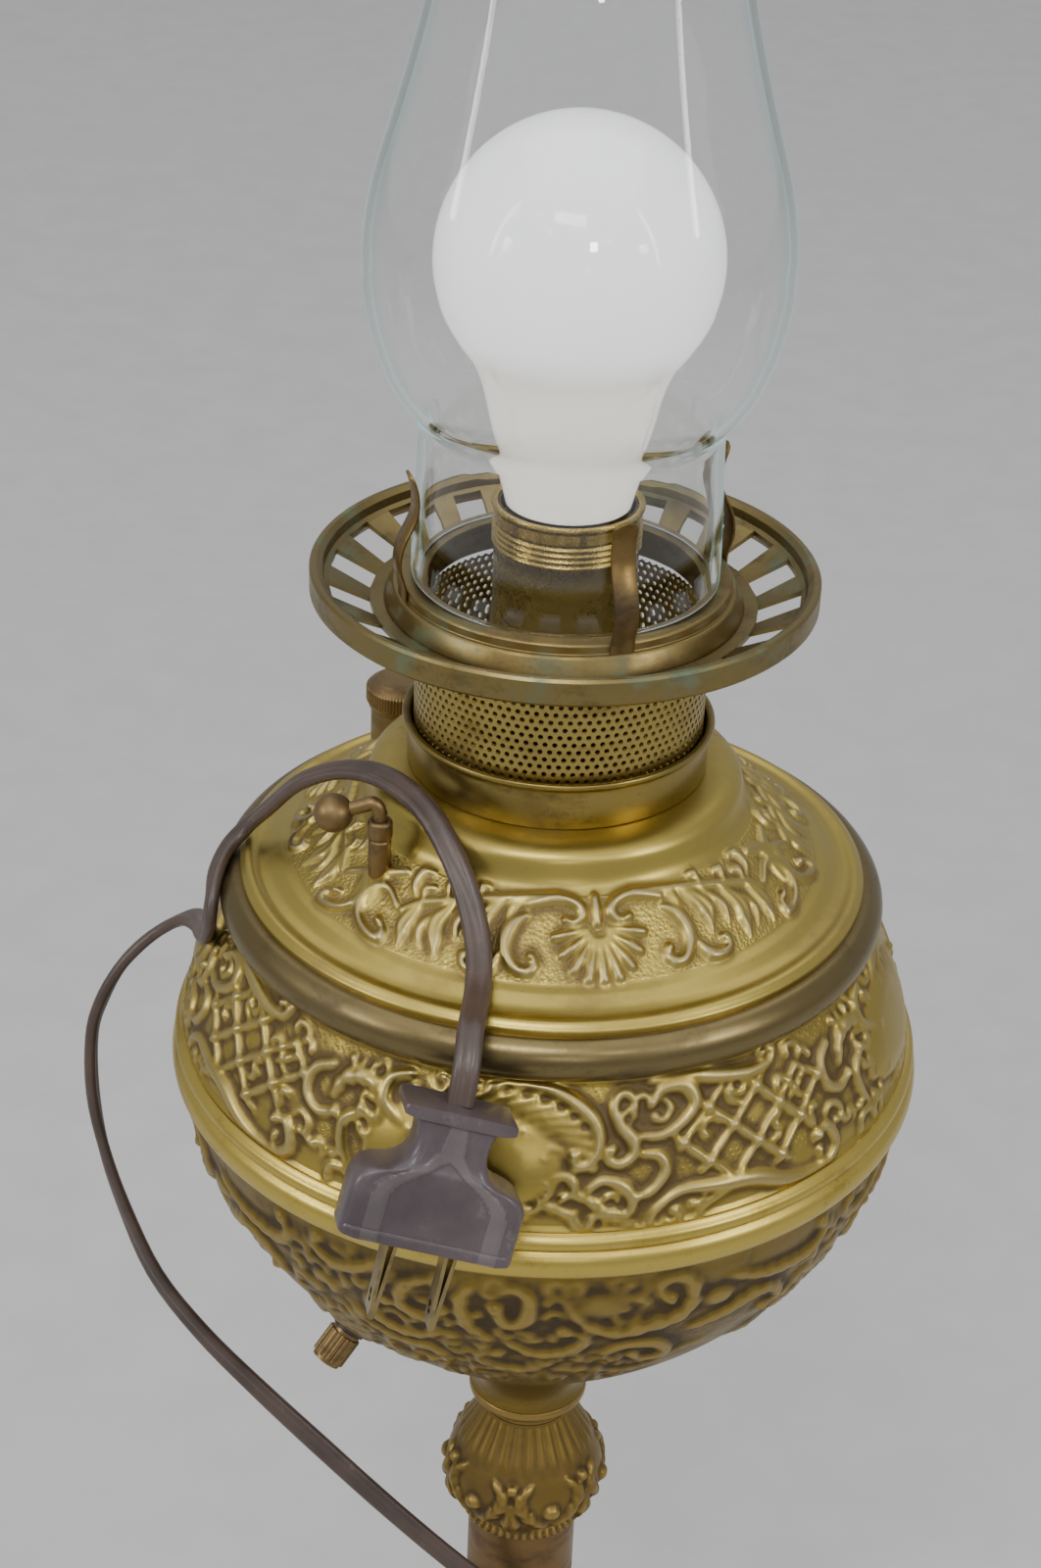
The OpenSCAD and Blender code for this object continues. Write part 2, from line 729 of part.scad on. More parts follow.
module gallery_ring() {
    r = gallery_r;
    top = rim_z + gallery_rise;
    low = top - gallery_rim_h;
    end_z = plate_z + gallery_rise;
    slot_in = seat_r + 5.8;
    plate = [
        [basket_top_r, plate_z], [slot_in, plate_z], [rim_in_r - 1.2, end_z],
        [rim_in_r - 0.4, low + 0.2], [rim_in_r + 0.8, low], [r - 0.8, low], [r, low + 0.8],
        [r, top - 0.6], [r - 0.5, top], [r - 1.6, top], [rim_in_r, top - 0.9],
        [rim_in_r - 0.4, end_z + 1.8], [rim_in_r - 1.6, end_z + plate_t],
        [slot_in, plate_z + plate_t], [basket_top_r, plate_z + plate_t]
    ];
    color(brass) difference() {
        rotate_extrude() polygon(plate);
        for (i = [0 : gallery_slots - 1])
            rotate([0, 0, 360 / gallery_slots * (i + 0.5) + 3]) translate([slot_in, -slot_w / 2, plate_z - cut])
                cube([rim_in_r - 1.4 - slot_in, slot_w, gallery_rise + plate_t + 2 * cut]);
    }
}

module chimney_seat() {
    inner = chimney_r - glass_wall - 2.15;
    base = plate_z + plate_t;
    profile = [
        [seat_r + 3, base], [seat_r + 2.6, base + 1.1], [seat_r + 1.2, groove_z - 0.4],
        [seat_r + 0.8, groove_z], [seat_r, groove_z], [seat_r, seat_top_z - 0.4],
        [seat_r - 0.4, seat_top_z]
    ];
    color(bright_brass) rotate_extrude()
        polygon(concat([[inner, base]], profile, [[inner, seat_top_z]]));
}

// The spring strip of one prong, seen from its side: it rises from the groove, bows out,
// comes in to the glass and turns out again at its tip
module prong(index) {
    foot = seat_r + prong_t / 2;
    squeeze = prong_squeeze_r + prong_t / 2;
    strip = concat(
        [[foot, 0], [foot, 2]],
        curve([foot, 2], [foot, 4.5], [foot + 1.8, 6], [foot + 1.2, 10], 5),
        curve([foot + 1.2, 10], [foot + 0.6, 15], [squeeze, 17], [squeeze, 21.5], 5),
        curve([squeeze, 21.5], [squeeze, 24.5], [squeeze + 0.6, 26.5], [squeeze + 1.8, prong_h], 5)
    );
    outline = concat(inset(strip, -prong_t / 2), reversed(inset(strip, prong_t / 2)));
    color(dark_brass) rotate([0, 0, prong_az + 90 * (index - 1)]) translate([0, prong_w / 2, groove_z])
        rotate([90, 0, 0]) linear_extrude(prong_w) polygon(outline);
}

/* Chimney */

// The chimney's outer profile: an upright foot, a narrow shoulder, the bulge and the long neck
chimney_profile = concat(
    [[chimney_r, 0], [chimney_r, 4]],
    curve([chimney_r, 4], [chimney_r, 16], [bulb_r + 2.6, 20], [bulb_r + 2.4, 34], 6),
    curve([bulb_r + 2.4, 34], [bulb_r + 2.6, 38.5], [bulge_r - 7, 38.5], [bulge_r - 3.2, 50], 7),
    curve([bulge_r - 3.2, 50], [bulge_r + 1.6, 64], [bulge_r + 1, 77], [bulge_r - 3.6, 92], 9),
    curve([bulge_r - 3.6, 92], [bulge_r - 10, 113], [chimney_top_r + 4.5, 130],
        [chimney_top_r + 1.8, 160], 9),
    curve([chimney_top_r + 1.8, 160], [chimney_top_r, 185], [chimney_top_r - 0.6, chimney_h - 30],
        [chimney_top_r, chimney_h], 6)
);

module chimney() {
    color("#c9ddd8", 0.35) translate([0, 0, seat_top_z]) intersection() {
        spun(chimney_profile, glass_wall);
        cylinder(r = bulge_r * 2, h = chimney_h);
    }
}

/* Bulb and socket */

module bulb_glass() {
    n = 16;
    low = bulb_neck_z;
    mid = bulb_mid_z;
    profile = concat(
        [[bulb_screw_r + 0.5, low], [bulb_screw_r + 1.2, low + 3]],
        curve([bulb_screw_r + 1.2, low + 3], [bulb_screw_r + 4.4, low + (mid - low) * 0.42],
            [bulb_r, low + (mid - low) * 0.56], [bulb_r, mid], 12),
        [for (i = [1 : n]) let (a = 90 * i / n) [bulb_r * cos(a), mid + bulb_r * sin(a)]]
    );
    skin = 0.8;
    inner = [for (p = reversed(inset(profile, skin))) [max(p[0], 0), p[1]]];
    color("#e8e6e0") rotate_extrude() intersection() {
        polygon(concat(profile, inner));
        translate([0, low]) square([bulb_r * 2, bulb_h]);
    }
}

module bulb_screw_shell() {
    color("#b0a070") translate([0, 0, bulb_z]) rotate_extrude() polygon([
        [8, 3], [bulb_screw_r, 5.5], [bulb_screw_r, 25], [bulb_screw_r + 0.5, 27],
        [bulb_screw_r - 0.5, 27], [bulb_screw_r - 0.5, 5.9], [8, 3.5]
    ]);
}

module bulb_insulator() {
    color("#202020") translate([0, 0, bulb_z + 1]) difference() {
        cylinder(r1 = 5.5, r2 = 8, h = 2.5);
        translate([0, 0, -cut]) cylinder(r = 3, h = 5);
    }
}

module bulb_contact() {
    color(steel_grey) translate([0, 0, bulb_z]) {
        cylinder(r1 = 3.4, r2 = 4.2, h = 1);
        cylinder(r = 3, h = 2.4);
    }
}

module socket_shell() {
    r = socket_r;
    h = socket_h;
    ridge = 1.35;
    ridge_z = h - 10;
    profile = concat(
        [[r - 0.5, 0], [r - 0.5, ridge_z - 1], [r - 0.3, ridge_z]],
        [
            for (i = [0 : 3], p = [[r, 0.35], [r, 0.8], [r - 0.5, 1.15]])
                [p[0], ridge_z + ridge * i + p[1]]
        ],
        [[r - 0.2, ridge_z + 5.9], [r - 0.2, h - 1.6], [r + 0.4, h - 0.9], [r + 0.2, h - 0.1]],
        [[r - 0.4, h], [r - 1.2, h - 0.4], [r - 1.2, 0]]
    );
    color(bright_brass) translate([0, 0, seam_z]) rotate_extrude() polygon(profile);
}

module socket_liner() {
    color("#2e2620") translate([0, 0, seam_z]) ring(liner_r, liner_r - 0.5, socket_h - 0.6);
}

module socket_screw_shell() {
    inner = bulb_screw_r + gap;
    low = insulator_z + insulator_h;
    color(bright_brass) translate([0, 0, low]) ring(inner + 0.4, inner, seam_z + socket_h - 4 - low);
}

module socket_insulator() {
    color("#3a302a") translate([0, 0, insulator_z]) ring(insulator_r, 3.2, insulator_h);
}

module socket_contact() {
    color(bright_brass) translate([0, 0, insulator_z]) {
        cylinder(r = 3.2, h = insulator_h);
        translate([0, 0, insulator_h]) cylinder(r1 = 6, r2 = 4.5, h = contact_h);
    }
}

module socket_cap() {
    r = socket_r - 0.5;
    h = seam_z - cap_z;
    color(brass) translate([0, 0, cap_z]) rotate_extrude() polygon([
        [pipe_r, 0], [r - 3, 0], [r - 1, 1], [r, 3.5], [r, h],
        [r - cap_wall, h], [r - cap_wall, 3.9], [r - 1.5, 1.6], [r - 3.2, cap_wall],
        [pipe_r, cap_wall]
    ]);
}

module adapter_plate() {
    color(brass) translate([0, 0, draught_top_z]) {
        ring(wick_tube_r, pipe_r, adapter_t);
        translate([0, 0, -3]) ring(draught_r - tube_wall, draught_r - tube_wall - 1.2, 3);
    }
}

module nipple() {
    low = draught_top_z - nut_h - 4;
    high = cap_z + cap_wall + 3;
    color(steel_grey) translate([0, 0, low]) ring(pipe_r, pipe_bore_r, high - low);
}

module nipple_nuts() {
    color(steel_grey) {
        translate([0, 0, draught_top_z - nut_h]) hex_nut(15, pipe_r, nut_h);
        translate([0, 0, draught_top_z + adapter_t]) hex_nut(15, pipe_r, nut_h);
        translate([0, 0, cap_z + cap_wall]) hex_nut(15, pipe_r, 2.6);
    }
}

/* Switch, inner lead, flex and plug */

shaft_r = 1.8;
knob_seat = 4.1;
knob_cap = 3.2;

module switch_body() {
    color("#2b2724") at_switch() {
        translate([0, 0, -switch_len - 2.2]) cylinder(r = switch_r, h = switch_len);
        translate([0, 0, -2.2]) ring(4.2, shaft_r + fit, 6);
    }
}

module switch_nut() {
    color(dark_brass) at_switch() translate([0, 0, 0.4]) ring(6.6, 4.2, 2);
}

module switch_shaft() {
    low = gap - 2.2;
    color(dark_brass) at_switch() translate([0, 0, low])
        cylinder(r = shaft_r, h = knob_seat + knob_len - knob_cap - low);
}

module switch_knob() {
    color("#3a3330") at_switch() translate([0, 0, knob_seat]) difference() {
        union() {
            cylinder(r = knob_r - 0.6, h = knob_len);
            translate([0, 0, 1]) cylinder(r = knob_r, h = knob_len - 2);
        }
        translate([0, 0, -cut]) cylinder(r = shaft_r, h = knob_len - knob_cap + cut);
        for (i = [0 : 17])
            rotate([0, 0, 20 * i]) translate([knob_r + 0.15, 0, -cut])
                cylinder(r = 0.45, h = knob_len + 2 * cut, $fn = 6);
    }
}

module inner_lead() {
    top = insulator_z - 2;
    low = LEAD[len(LEAD) - 1][0][2];
    color("#6a4a3a") {
        swept(LEAD, 2 * lead_r, 2 * lead_r);
        translate([0, 0, low]) cylinder(r = lead_r, h = top - low);
    }
}

// Local +Z runs out of the foot along the strain relief, from the inside of its wall
module at_relief() {
    rotate([0, 0, relief_az]) translate([foot_r - 4 - foot_wall, 0, relief_z])
        rotate([0, 90 + relief_dip, 0]) children();
}

module strain_relief() {
    color(plug_brown) at_relief() {
        translate([0, 0, -3]) cylinder(r = relief_r, h = foot_wall + 6);
        translate([0, 0, foot_wall + 3]) cylinder(r1 = relief_r, r2 = 3.1, h = relief_len);
    }
}

module flex() {
    color(plug_brown) swept(FLEX, flex_w, flex_t);
}

module flex_tail() {
    color(plug_brown) swept(FLEX_TAIL, flex_w, flex_t);
}

module flex_coil() {
    color(plug_brown) translate([coil_x, coil_y, coil_z])
        rotate_extrude() translate([coil_r, 0]) circle(r = bundle_r, $fn = 32);
}

module coil_tie() {
    color("#c9c4b4") translate([coil_x, coil_y, coil_z]) rotate([0, 0, 50])
        translate([coil_r, -2, 0]) rotate([-90, 0, 0]) ring(bundle_r + 0.6, bundle_r, 4);
}

// Local +Z runs up the plug from its blades to the flex, and -Y is its face
module at_plug() {
    translate(FLEX[0][0]) rotate([-plug_lean, plug_swing, plug_turn]) children();
}

module plug_body() {
    half = plug_w / 2;
    right = concat(
        [[11.4, 0], [11.8, -0.6], [11.8, -2.2], [8.6, -3]],
        curve([8.6, -3], [7, -8], [7.4, -13], [half - 5.4, -14.4], 7),
        curve([half - 5.4, -14.4], [half - 1.8, -15], [half, -16.4], [half, -20], 5),
        [[half, -plug_len]]
    );
    left = [for (p = reversed(right)) [-p[0], p[1]]];
    color(plug_brown) at_plug() translate([0, plug_t / 2, 0])
        rotate([90, 0, 0]) linear_extrude(plug_t) polygon(concat(right, left));
}

// A folded brass blade: two leaves that meet at the tip
module blade(side) {
    leaf = 0.7;
    spread = 1.35;
    width = 6.35;
    outline = [
        [-spread, 0], [-spread, -1], [-leaf - 0.05, -blade_len + 0.8], [-0.4, -blade_len],
        [0.4, -blade_len], [leaf + 0.05, -blade_len + 0.8], [spread, -1], [spread, 0],
        [spread - leaf, 0], [0.02, -blade_len + 4], [-0.02, -blade_len + 4], [leaf - spread, 0]
    ];
    color("#b3a06a") at_plug() translate([side * blade_gap / 2, 0, -plug_len]) difference() {
        translate([0, width / 2, 0]) rotate([90, 0, 0]) linear_extrude(width) polygon(outline);
        translate([-3, 0, -blade_len + 4.2]) rotate([0, 90, 0]) cylinder(r = 1.5, h = 6);
    }
}

module plug_blade_left() {
    blade(-1);
}

module plug_blade_right() {
    blade(1);
}

base_foot();
column_collar();
column_tube();
knop();
neck_ring();
tie_pipe();
tie_nuts();
tie_washers();
urn_bowl();
urn_band();
urn_shell();
urn_bead();
font_top();
font_bottom();
draught_tube();
wick_tube();
wick_carrier();
raiser_rod();
raiser_ball();
raiser_guide();
filler_neck();
filler_cap();
filler_gasket();
burner_cup();
burner_basket();
gallery_ring();
chimney_seat();
prong(1);  // prong_1
prong(2);  // prong_2
prong(3);  // prong_3
prong(4);  // prong_4
chimney();
bulb_glass();
bulb_screw_shell();
bulb_insulator();
bulb_contact();
socket_shell();
socket_liner();
socket_screw_shell();
socket_insulator();
socket_contact();
socket_cap();
adapter_plate();
nipple();
nipple_nuts();
switch_body();
switch_nut();
switch_shaft();
switch_knob();
inner_lead();
strain_relief();
flex();
flex_tail();
flex_coil();
coil_tie();
plug_body();
plug_blade_left();
plug_blade_right();
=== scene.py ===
# %% [markdown]
# # An embossed brass banquet lamp
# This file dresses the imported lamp: a centre-draught oil lamp that was converted to electricity.
# Every length is in millimetres until a mesh is made, where it becomes metres.
# The lamp's axis is Z, and its front faces -Y.

# %% Set-up
import math

import bpy
import numpy as np
from mathutils import Matrix, Vector


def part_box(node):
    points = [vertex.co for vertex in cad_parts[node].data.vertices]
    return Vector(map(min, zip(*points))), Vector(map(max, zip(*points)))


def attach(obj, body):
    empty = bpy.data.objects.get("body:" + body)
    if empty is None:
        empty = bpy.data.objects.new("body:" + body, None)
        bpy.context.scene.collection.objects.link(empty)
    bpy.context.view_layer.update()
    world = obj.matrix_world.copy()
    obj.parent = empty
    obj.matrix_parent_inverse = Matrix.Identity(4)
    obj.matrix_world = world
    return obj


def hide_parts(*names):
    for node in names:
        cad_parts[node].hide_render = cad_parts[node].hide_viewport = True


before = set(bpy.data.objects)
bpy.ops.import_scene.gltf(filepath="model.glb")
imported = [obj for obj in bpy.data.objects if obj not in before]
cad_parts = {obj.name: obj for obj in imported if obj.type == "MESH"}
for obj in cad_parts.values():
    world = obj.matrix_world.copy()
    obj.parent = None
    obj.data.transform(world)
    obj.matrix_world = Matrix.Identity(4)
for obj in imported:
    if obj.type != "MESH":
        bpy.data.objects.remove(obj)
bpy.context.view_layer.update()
MM = 0.001
rng = np.random.default_rng(7)
print("nodes in the frame:", len(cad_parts))


def span(node):
    """A node's lowest and highest corners at rest, in millimetres."""
    low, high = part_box(node)
    return np.array(low) / MM, np.array(high) / MM


def radius(node):
    """How far a round node reaches from the lamp's axis, in millimetres."""
    low, high = span(node)
    return float(max(-low[0], high[0], -low[1], high[1]))


# %% [markdown]
# ## The camera
# It looks down at the front of the burner from a little above the gallery, turned slightly, so
# the chimney leans out of the frame at the top and the column at the bottom.

# %% Camera
pitch, yaw, roll = (math.radians(a) for a in (29.48, -0.82, 2.25))
forward = Vector((math.sin(yaw) * math.cos(pitch), math.cos(yaw) * math.cos(pitch), -math.sin(pitch)))
level = Vector((math.cos(yaw), -math.sin(yaw), 0))
upward = level.cross(forward)
right = level * math.cos(roll) + upward * math.sin(roll)
up = upward * math.cos(roll) - level * math.sin(roll)
camera = bpy.data.objects.new("camera", bpy.data.cameras.new("camera"))
bpy.context.scene.collection.objects.link(camera)
rim_top = (span("chimney_seat")[1][2] - 3) * MM
camera.matrix_world = Matrix.Translation(
    (0, -0.5481, rim_top + 0.2594)
) @ Matrix((right, up, -forward)).transposed().to_4x4()
camera.data.sensor_width = 36
camera.data.lens = 64.125
camera.data.clip_start = 0.01
bpy.context.scene.camera = camera
print("camera at", [round(v, 3) for v in camera.matrix_world.translation])

# %% [markdown]
# ## Materials as sums
# A material here is written as ordinary arithmetic. `Wire` wraps one shader socket and turns
# `+ - *` into Math nodes. `Graph.add` makes any other node from its type, its settings and its
# inputs. That keeps each recipe readable, and every look stays procedural.


# %% Shader helpers
class Wire:
    """A shader socket that can be added, multiplied and so on."""

    def __init__(self, graph, socket):
        self.graph, self.socket = graph, socket

    def does(self, operation, *values):
        return self.graph.add("ShaderNodeMath", {"operation": operation}, dict(enumerate(values)))

    def __add__(self, other):
        return self.does("ADD", self, other)

    __radd__ = __add__

    def __mul__(self, other):
        return self.does("MULTIPLY", self, other)

    __rmul__ = __mul__

    def __sub__(self, other):
        return self.does("SUBTRACT", self, other)

    def __rsub__(self, other):
        return self.does("SUBTRACT", other, self)

    def ramp(self, low, high):
        """Rises smoothly from 0 at low to 1 at high."""
        settings = {"interpolation_type": "SMOOTHSTEP"}
        return self.graph.add(
            "ShaderNodeMapRange", settings, {"Value": self, "From Min": low, "From Max": high}
        )


class Graph:
    """One material and its nodes."""

    def __init__(self, name):
        self.material = bpy.data.materials.new(name)
        self.material.use_nodes = True
        self.nodes = self.material.node_tree.nodes
        self.links = self.material.node_tree.links
        self.shader = self.nodes["Principled BSDF"]

    def add(self, kind, settings=None, inputs=None, output=0):
        node = self.nodes.new(kind)
        for key, value in (settings or {}).items():
            setattr(node, key, value)
        for key, value in (inputs or {}).items():
            self.plug(node.inputs[key], value)
        return Wire(self, node.outputs[output])

    def plug(self, socket, value):
        if isinstance(value, Wire):
            self.links.new(value.socket, socket)
        elif socket.type == "RGBA" and len(value) == 3:
            socket.default_value = (*value, 1)
        else:
            socket.default_value = value

    def place(self):
        """Where a point is, in metres, at rest."""
        return self.add("ShaderNodeTexCoord", output="Object")

    def noise(self, scale, detail=4, rough=0.55, stretch=None):
        where = self.place()
        if stretch:
            where = self.add("ShaderNodeVectorMath", {"operation": "MULTIPLY"}, {0: where, 1: stretch})
        inputs = {"Vector": where, "Scale": scale, "Detail": detail, "Roughness": rough}
        return self.add("ShaderNodeTexNoise", None, inputs, "Fac")

    def cells(self, scale):
        return self.add("ShaderNodeTexVoronoi", None, {"Vector": self.place(), "Scale": scale}, "Distance")

    def attribute(self, name):
        return self.add("ShaderNodeAttribute", {"attribute_name": name}, output="Fac")

    def mix(self, factor, a, b):
        settings = {"data_type": "RGBA", "clamp_factor": True}
        return self.add("ShaderNodeMix", settings, {0: factor, 6: a, 7: b}, 2)

    def bump(self, height, distance, strength=1.0):
        return self.add(
            "ShaderNodeBump", None, {"Height": height, "Distance": distance, "Strength": strength},
            "Normal"
        )

    def finish(self, **inputs):
        """Plugs values into the Principled shader; an underscore stands for a space."""
        for key, value in inputs.items():
            self.plug(self.shader.inputs[key.replace("_", " ")], value)
        return self.material


# %% [markdown]
# ## Aged brass
# The metal has three tones. Rubbed high places are pale gold, open surfaces are a soft olive
# gold, and the hollows are dark brown: the tarnish they keep, with painted shade laid over it.
# On embossed pieces a `cavity` value stored on the mesh tells high from low; on plain pieces
# cloudy noise alone moves the tone. Tarnish, and the painted shade with it, is also rougher and
# less metallic than bare brass. `stipple` adds the punched dots of a stamped ground, and `green`
# the verdigris that damp leaves on the gallery and the seat.


# %% Brass recipe
def aged_brass(name, light, mid, dark, tarnish=0.5, relief=0.0, rough=0.3, stipple=0.0, green=0.0):
    g = Graph(name)
    cloud = g.noise(26, 5, 0.6)
    drift = g.noise(70, 4, 0.6, (1, 1, 2.6))
    grain = g.noise(900, 3, 0.7)
    tarnish_and_shade = (cloud * 0.6 + drift * 0.4).ramp(0.62 - 0.3 * tarnish, 0.9 - 0.3 * tarnish)
    stain = (drift * 0.7 + grain * 0.3).ramp(0.5, 0.72)
    if relief:
        cavity = g.attribute("cavity")
        # The hollows darken: partly the tarnish kept there, partly painted shade
        hollow_tarnish_and_shade = (1.0 - cavity.ramp(0.1, 0.62)) * relief
        crest = cavity.ramp(0.55, 0.95) * relief
        tarnish_and_shade = (tarnish_and_shade * 0.6 + hollow_tarnish_and_shade).ramp(0.05, 1.0)
    tone = g.mix(tarnish_and_shade, mid, dark)
    if relief:
        tone = g.mix(crest * (1.0 - stain * 0.5), tone, light)
    else:
        tone = g.mix((1.0 - tarnish_and_shade) * (1.0 - stain) * 0.8, tone, light)
    tone = g.mix(grain.ramp(0.62, 0.8) * 0.35, tone, dark)
    if green:
        bloom = (g.noise(55, 6, 0.65) + g.attribute("trough") * 0.3).ramp(0.5, 0.7)
        tone = g.mix(bloom * green, tone, (0.1, 0.165, 0.11))
        tarnish_and_shade = (tarnish_and_shade + bloom * green).ramp(0.0, 1.0)
    height = grain * 0.4 + drift * 0.6
    if stipple:
        ground = g.attribute("ground")
        height = height + g.cells(1150) * ground * (4.0 * stipple)
    skin = g.bump(height, 0.00012, 0.5)
    return g.finish(
        Base_Color=tone,
        Metallic=1.0 - tarnish_and_shade * 0.45,
        Roughness=rough + tarnish_and_shade * 0.22 + grain * 0.1,
        Normal=skin,
    )


GOLD, OLIVE, BROWN = (0.46, 0.36, 0.15), (0.42, 0.31, 0.07), (0.1, 0.064, 0.02)
urn_brass = aged_brass("urn_brass", GOLD, OLIVE, BROWN, 0.68, 0.8, 0.3, 0.6)
# The bowl is darker than the shell: its brown patina, and painted shade on the underside below the band
shaded_bowl_brass = aged_brass(
    "shaded_bowl_brass", (0.36, 0.26, 0.08), (0.22, 0.15, 0.035), (0.06, 0.038, 0.014), 0.7, 0.8, 0.33, 0.4
)
font_brass = aged_brass(
    "font_brass", (0.36, 0.29, 0.16), (0.47, 0.36, 0.09), (0.15, 0.1, 0.035), 0.66, 0.7, 0.3, 1.0
)
band_brass = aged_brass(
    "band_brass", (0.58, 0.44, 0.11), (0.42, 0.3, 0.05), (0.17, 0.11, 0.025), 0.4, rough=0.3
)
bead_bronze = aged_brass(
    "bead_bronze", (0.21, 0.16, 0.07), (0.135, 0.1, 0.042), (0.07, 0.05, 0.022), 0.5, rough=0.27
)
burner_brass = aged_brass(
    "burner_brass", (0.33, 0.25, 0.08), (0.19, 0.135, 0.036), (0.075, 0.05, 0.017), 0.62, rough=0.25
)
basket_brass = aged_brass(
    "basket_brass", (0.42, 0.32, 0.1), (0.26, 0.18, 0.05), (0.1, 0.062, 0.02), 0.45, rough=0.33
)
gallery_brass = aged_brass(
    "gallery_brass", (0.25, 0.19, 0.075), (0.15, 0.113, 0.042), (0.065, 0.046, 0.019), 0.6, rough=0.31,
    green=0.65
)
seat_brass = aged_brass(
    "seat_brass", (0.28, 0.21, 0.08), (0.18, 0.125, 0.045), (0.1, 0.058, 0.022), 0.6, rough=0.32,
    green=0.65
)
prong_brass = aged_brass(
    "prong_brass", (0.26, 0.17, 0.06), (0.13, 0.085, 0.032), (0.05, 0.033, 0.018), 0.6, rough=0.3
)
small_brass = aged_brass(
    "small_brass", (0.26, 0.175, 0.075), (0.15, 0.098, 0.045), (0.07, 0.045, 0.022), 0.6, rough=0.36
)
socket_brass = aged_brass(
    "socket_brass", (0.5, 0.37, 0.1), (0.33, 0.235, 0.055), (0.17, 0.115, 0.035), 0.35, rough=0.22
)
cast_brass = aged_brass(
    "cast_brass", (0.36, 0.25, 0.07), (0.22, 0.145, 0.04), (0.07, 0.042, 0.015), 0.6, 0.9, 0.36
)
plain_cast = aged_brass(
    "plain_cast", (0.34, 0.23, 0.07), (0.2, 0.13, 0.04), (0.08, 0.048, 0.018), 0.6, rough=0.36
)
column_brass = aged_brass(
    "column_brass", (0.24, 0.145, 0.058), (0.15, 0.088, 0.036), (0.08, 0.045, 0.018), 0.65, rough=0.34
)
print("brasses:", len([m for m in bpy.data.materials if "brass" in m.name or "bronze" in m.name]))

# %% [markdown]
# ## The other materials
# The chimney is real refracting glass, slightly wavy, and its edges are tinted where the wall is
# seen at a slant; there they also give off a faint cyan light, which is a painted glow. The bulb
# is opal, and although it is not lit it gives off light in its own colour: a painted glow that
# brightens it. Its neck is stained. Vinyl, plated metal, paper and cork differ in how rough they
# are and in the size of their specks.


# %% Other recipes
def clear_glass():
    g = Graph("clear_glass")
    waves = g.noise(26, 2, 0.4, (1, 1, 0.12))
    smear = g.noise(60, 4, 0.6).ramp(0.58, 0.8)
    facing = g.add("ShaderNodeLayerWeight", None, {"Blend": 0.5}, "Facing")
    tone = g.mix(facing.ramp(0.62, 1.0), (1.0, 1.0, 1.0), (0.5, 0.9, 0.87))
    # Painted glow: the glass gives off a faint cyan light where the wall is seen at a slant
    edge = g.mix(facing.ramp(0.8, 1.0), (0.0, 0.0, 0.0), (0.3, 0.75, 0.7))
    g.finish(Transmission_Weight=1.0, IOR=1.45, Emission_Color=edge, Emission_Strength=0.3)
    return g.finish(Base_Color=tone, Roughness=0.008 + smear * 0.03, Normal=g.bump(waves, 0.0005, 0.3))


def opal_glass():
    g = Graph("opal_glass")
    height = g.add("ShaderNodeSeparateXYZ", None, {0: g.place()}, "Z")
    low = span("bulb_glass")[0][2] * MM
    neck = 1.0 - height.ramp(low + 0.03, low + 0.042)
    dust = g.noise(160, 5, 0.65).ramp(0.52, 0.78)
    warm = neck * (0.7 + g.noise(30, 4, 0.6) * 0.5)
    tone = g.mix(warm * 0.6, (0.92, 0.925, 0.93), (0.76, 0.72, 0.6))
    tone = g.mix(dust * 0.1, tone, (0.66, 0.61, 0.5))
    # Painted glow: the bulb gives off light in its own colour, though it is not lit
    g.finish(Coat_Roughness=0.03, IOR=1.5, Emission_Strength=0.85)
    return g.finish(
        Base_Color=tone, Emission_Color=tone, Roughness=0.12 + dust * 0.12,
        Coat_Weight=0.6 - dust * 0.2, Normal=g.bump(dust, 0.00004, 0.4)
    )


def vinyl(name, tone, worn, rough=0.42):
    g = Graph(name)
    cloud, grain = g.noise(60, 5, 0.6), g.noise(1400, 3, 0.6)
    scuff = (g.noise(240, 5, 0.7, (1, 1, 0.4)) * 0.8 + grain * 0.2).ramp(0.56, 0.76)
    base = g.mix(cloud.ramp(0.35, 0.7), tone, tuple(0.62 * c for c in tone))
    base = g.mix(scuff * 0.55, base, worn)
    g.finish(Specular_IOR_Level=0.55)
    return g.finish(
        Base_Color=base, Roughness=rough + scuff * 0.2 + grain * 0.08,
        Normal=g.bump(grain * 0.5 + cloud * 0.5, 0.00015, 0.45)
    )


def metal(name, tone, dull, rough=0.3):
    g = Graph(name)
    cloud, grain = g.noise(120, 4, 0.6), g.noise(1500, 3, 0.6, (1, 1, 4))
    base = g.mix(cloud.ramp(0.4, 0.7), tone, dull)
    return g.finish(
        Base_Color=base, Metallic=1.0 - cloud * 0.1, Roughness=rough + grain * 0.15,
        Normal=g.bump(grain, 0.00006, 0.4)
    )


def matte(name, tone, spot, rough=0.75, scale=500):
    g = Graph(name)
    cloud, grain = g.noise(90, 4, 0.6), g.noise(scale, 4, 0.7)
    base = g.mix((cloud * 0.5 + grain * 0.5).ramp(0.4, 0.65), tone, spot)
    return g.finish(Base_Color=base, Roughness=rough + grain * 0.15, Normal=g.bump(grain, 0.0002, 0.5))


